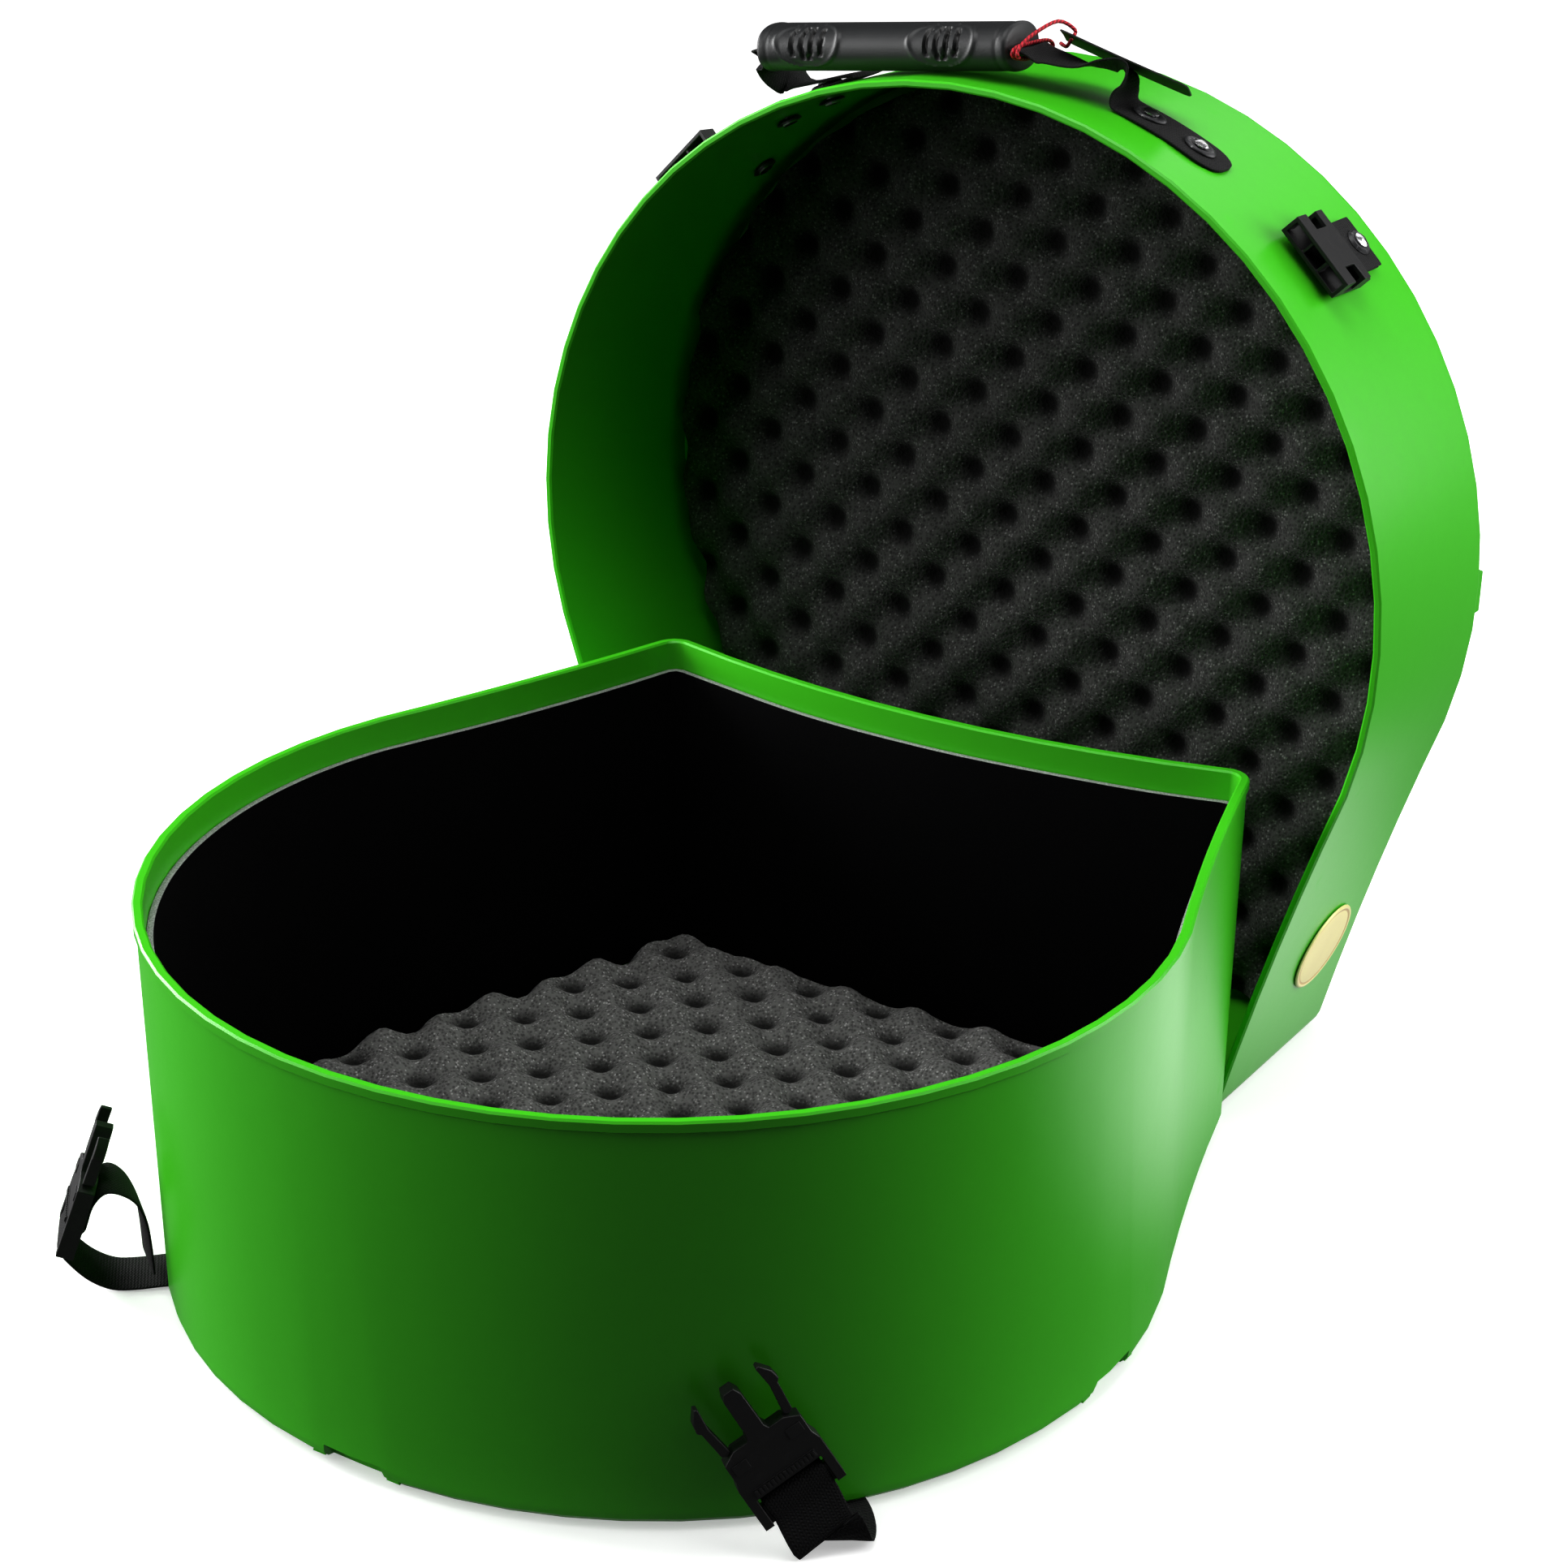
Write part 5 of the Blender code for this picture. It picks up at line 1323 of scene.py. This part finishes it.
def card_mesh(name):
    """Thin card with round corners, a punched hole and a slight curl."""
    place = tag_place()
    around = 64
    corner = TAG_CORNER
    half_long, half_wide = TAG_LENGTH / 2, TAG_WIDTH / 2
    middle = Vector((half_long - TAG_HOLE_INSET, 0.0))
    edge = []
    for quarter, (x, y) in enumerate(((1, 1), (-1, 1), (-1, -1), (1, -1))):
        for step in range(5):
            turn = math.pi / 2 * (quarter + step / 4)
            edge.append(middle + Vector((x * (half_long - corner) + corner * math.cos(turn),
                                         y * (half_wide - corner) + corner * math.sin(turn))))
    edge = evenly_spaced(edge, around)
    shift = min(range(around), key=lambda i: abs(math.atan2(edge[i].y, edge[i].x)))
    edge = edge[shift:] + edge[:shift]
    hole = [Vector((TAG_HOLE_RADIUS * math.cos(math.atan2(spot.y, spot.x)),
                    TAG_HOLE_RADIUS * math.sin(math.atan2(spot.y, spot.x)))) for spot in edge]
    shares = (0.0, 0.08, 0.2, 0.4, 0.6, 0.8, 0.93, 0.985, 1.0)

    def row_at(share, height):
        row = []
        for inner, outer in zip(hole, edge):
            spot = inner.lerp(outer, share)
            curl = TAG_CURL * ((spot.x / TAG_LENGTH) ** 2 - (spot.y / half_wide) ** 2 * 0.4)
            row.append((place @ Vector((spot.x, spot.y, height + curl)),
                        ((outer - spot).length, 0.0, 0.0)))
        return row

    rows = [row_at(share, TAG_THICKNESS / 2) for share in shares]
    rows += [row_at(share, -TAG_THICKNESS / 2) for share in reversed(shares)]
    rows.append(rows[0])
    return mesh_from_rows(name, rows, caps=False)


class DrumCaseTag(bpy.types.Operator):
    """Make the blank swing tag and its red cord"""
    bl_idname = "drum_case.tag"
    bl_label = "Swing tag"

    def execute(self, context):
        add_piece("swing_card", card_mesh("swing_card"), card_finish(), "tag",
                  ("tag_card",))
        turn = [(0.0228, 0.2212, 0.0445), (0.0224, 0.2193, 0.0395), (0.0224, 0.2188, 0.0278),
                (0.0224, 0.2193, 0.0170), (0.0225, 0.2215, 0.0124), (0.0226, 0.2241, 0.0150),
                (0.0228, 0.2244, 0.0280), (0.0236, 0.2240, 0.0400), (0.0244, 0.2215, 0.0436),
                (0.0246, 0.2193, 0.0395), (0.0247, 0.2188, 0.0278), (0.0247, 0.2193, 0.0170),
                (0.0248, 0.2215, 0.0124), (0.0252, 0.2250, 0.0140), (0.0272, 0.2295, 0.0220),
                (0.0312, 0.2333, 0.0345), (0.0349, 0.2290, 0.0426), (0.0345, 0.2258, 0.0410),
                (0.0330, 0.2226, 0.0402), (0.0300, 0.2218, 0.0432), (0.0268, 0.2222, 0.0458)]
        path = smooth_path([lid_point(*spot) for spot in turn], 4)
        radius = TAG_CORD_RADIUS
        rows, travelled = tube_rows(path, radius, 10)
        mesh = mesh_from_rows("red_cord", rows)
        cord = add_piece("red_cord", mesh, cord_finish(), "handle", ("tag_cord",))
        return {"FINISHED"}


def tube_rows(path, radius, sides):
    """Rings of a round cord along a path, with lays of distance and turn, and its length."""
    rows = []
    side = (path[1] - path[0]).normalized().orthogonal()
    for spot, along, travelled in path_frames(path):
        side = (side - along * side.dot(along)).normalized()
        other = along.cross(side)
        row = []
        for step in range(sides):
            turn = 2 * math.pi * step / sides
            out = side * math.cos(turn) + other * math.sin(turn)
            row.append((spot + out * radius, (travelled, turn, 0.0)))
        rows.append(row)
    return rows, travelled


def add_floor(name, material, height, seen_by):
    """A wide disc under the case, which isn't part of it, for one kind of ray."""
    bm = bmesh.new()
    bmesh.ops.create_circle(bm, cap_ends=True, segments=96, radius=FLOOR_RADIUS)
    mesh = bpy.data.meshes.new(name)
    bm.to_mesh(mesh)
    bm.free()
    mesh.materials.append(material)
    floor = bpy.data.objects.new(name, mesh)
    floor.location.z = height
    for rays in ("camera", "diffuse", "glossy"):
        setattr(floor, f"visible_{rays}", rays == seen_by)
    bpy.context.scene.collection.objects.link(floor)


def area_light(name, place, target, size, power):
    """A softbox that looks at a point."""
    lamp = bpy.data.lights.new(name, "AREA")
    lamp.shape = "RECTANGLE"
    lamp.size, lamp.size_y = size
    lamp.energy = power
    thing = bpy.data.objects.new(name, lamp)
    thing.location = place
    thing.rotation_euler = (Vector(target) - Vector(place)).to_track_quat("-Z", "Y").to_euler()
    thing.visible_camera = False
    bpy.context.scene.collection.objects.link(thing)


class DrumCaseStage(bpy.types.Operator):
    """Set the camera as in the photograph, the pale floor and the soft light"""
    bl_idname = "drum_case.stage"
    bl_label = "Stage"

    def execute(self, context):
        stage = settings_of(context, "stage")
        yaw, pitch, roll = (math.radians(turn) for turn in (CAMERA_YAW, CAMERA_PITCH, CAMERA_ROLL))
        right = Vector((math.cos(yaw), -math.sin(yaw), 0.0))
        forward = Vector((math.sin(yaw) * math.cos(pitch), math.cos(yaw) * math.cos(pitch),
                          -math.sin(pitch)))
        up = right.cross(forward)
        rolled_right = right * math.cos(roll) + up * math.sin(roll)
        rolled_up = up * math.cos(roll) - right * math.sin(roll)
        lens = bpy.data.cameras.new("photo_camera")
        lens.sensor_fit = "HORIZONTAL"
        lens.sensor_width = FILM_WIDTH
        lens.lens = stage.lens
        lens.shift_x, lens.shift_y = CAMERA_SHIFT
        camera = bpy.data.objects.new("photo_camera", lens)
        camera.matrix_world = (Matrix.Translation(CAMERA_PLACE)
                               @ axes(rolled_right, rolled_up, -forward))
        context.scene.collection.objects.link(camera)
        context.scene.camera = camera

        low = CAD_BOX[0].z - FLOOR_DROP
        add_floor("pale_floor", floor_finish(stage), low, "camera")
        add_floor("bounce_card", bounce_finish(stage), low - CARD_STEP, "diffuse")
        add_floor("gleam_card", gleam_finish(stage), low - 2 * CARD_STEP, "glossy")

        sky = bpy.data.worlds.new("even_light")
        sky.use_nodes = True
        air = sky.node_tree.nodes["Background"]
        air.inputs["Color"].default_value = opaque(WHITE)
        context.scene.world = sky
        sky.cycles_visibility.diffuse = False
        sky.cycles_visibility.glossy = False
        context.scene.view_settings.view_transform = "Standard"
        context.scene.view_settings.gamma = stage.contrast
        for name, (place, size, power) in SOFTBOXES.items():
            area_light(name, place, SOFTBOX_TARGET, size, power * stage.lights)
        return {"FINISHED"}


class DrumCasePanel(bpy.types.Panel):
    """The case's pieces, in the order in which they are made"""
    bl_idname = "DRUM_CASE_PT_pieces"
    bl_label = "Snare Drum Case"
    bl_space_type = "VIEW_3D"
    bl_region_type = "UI"
    bl_category = "Drum Case"

    def draw(self, context):
        for operator in OPERATORS:
            self.layout.operator(operator.bl_idname)
        for name in SETTINGS:
            box = self.layout.box()
            box.label(text=name.title())
            settings = settings_of(context, name)
            for size in settings.bl_rna.properties:
                if size.identifier not in ("name", "rna_type"):
                    box.prop(settings, size.identifier)


SETTINGS = {"shell": ShellSettings, "foam": FoamSettings, "webbing": WebbingSettings,
            "buckle": BuckleSettings, "grip": GripSettings, "badge": BadgeSettings,
            "stage": StageSettings}
OPERATORS = (DrumCaseStage, DrumCaseShells, DrumCaseLining, DrumCaseFoam, DrumCaseStraps,
             DrumCaseBuckles, DrumCaseHandle, DrumCaseFasteners, DrumCaseBadge, DrumCaseTag)
CLASSES = tuple(SETTINGS.values()) + OPERATORS + (DrumCasePanel,)


def register():
    for item in CLASSES:
        bpy.utils.register_class(item)
    for name, group in SETTINGS.items():
        setattr(bpy.types.Scene, f"drum_case_{name}", PointerProperty(type=group))


def unregister():
    for name in SETTINGS:
        delattr(bpy.types.Scene, f"drum_case_{name}")
    for item in reversed(CLASSES):
        bpy.utils.unregister_class(item)


def main():
    register()
    for operator in OPERATORS:
        group, name = operator.bl_idname.split(".")
        getattr(getattr(bpy.ops, group), name)()


if __name__ == "__main__":
    main()
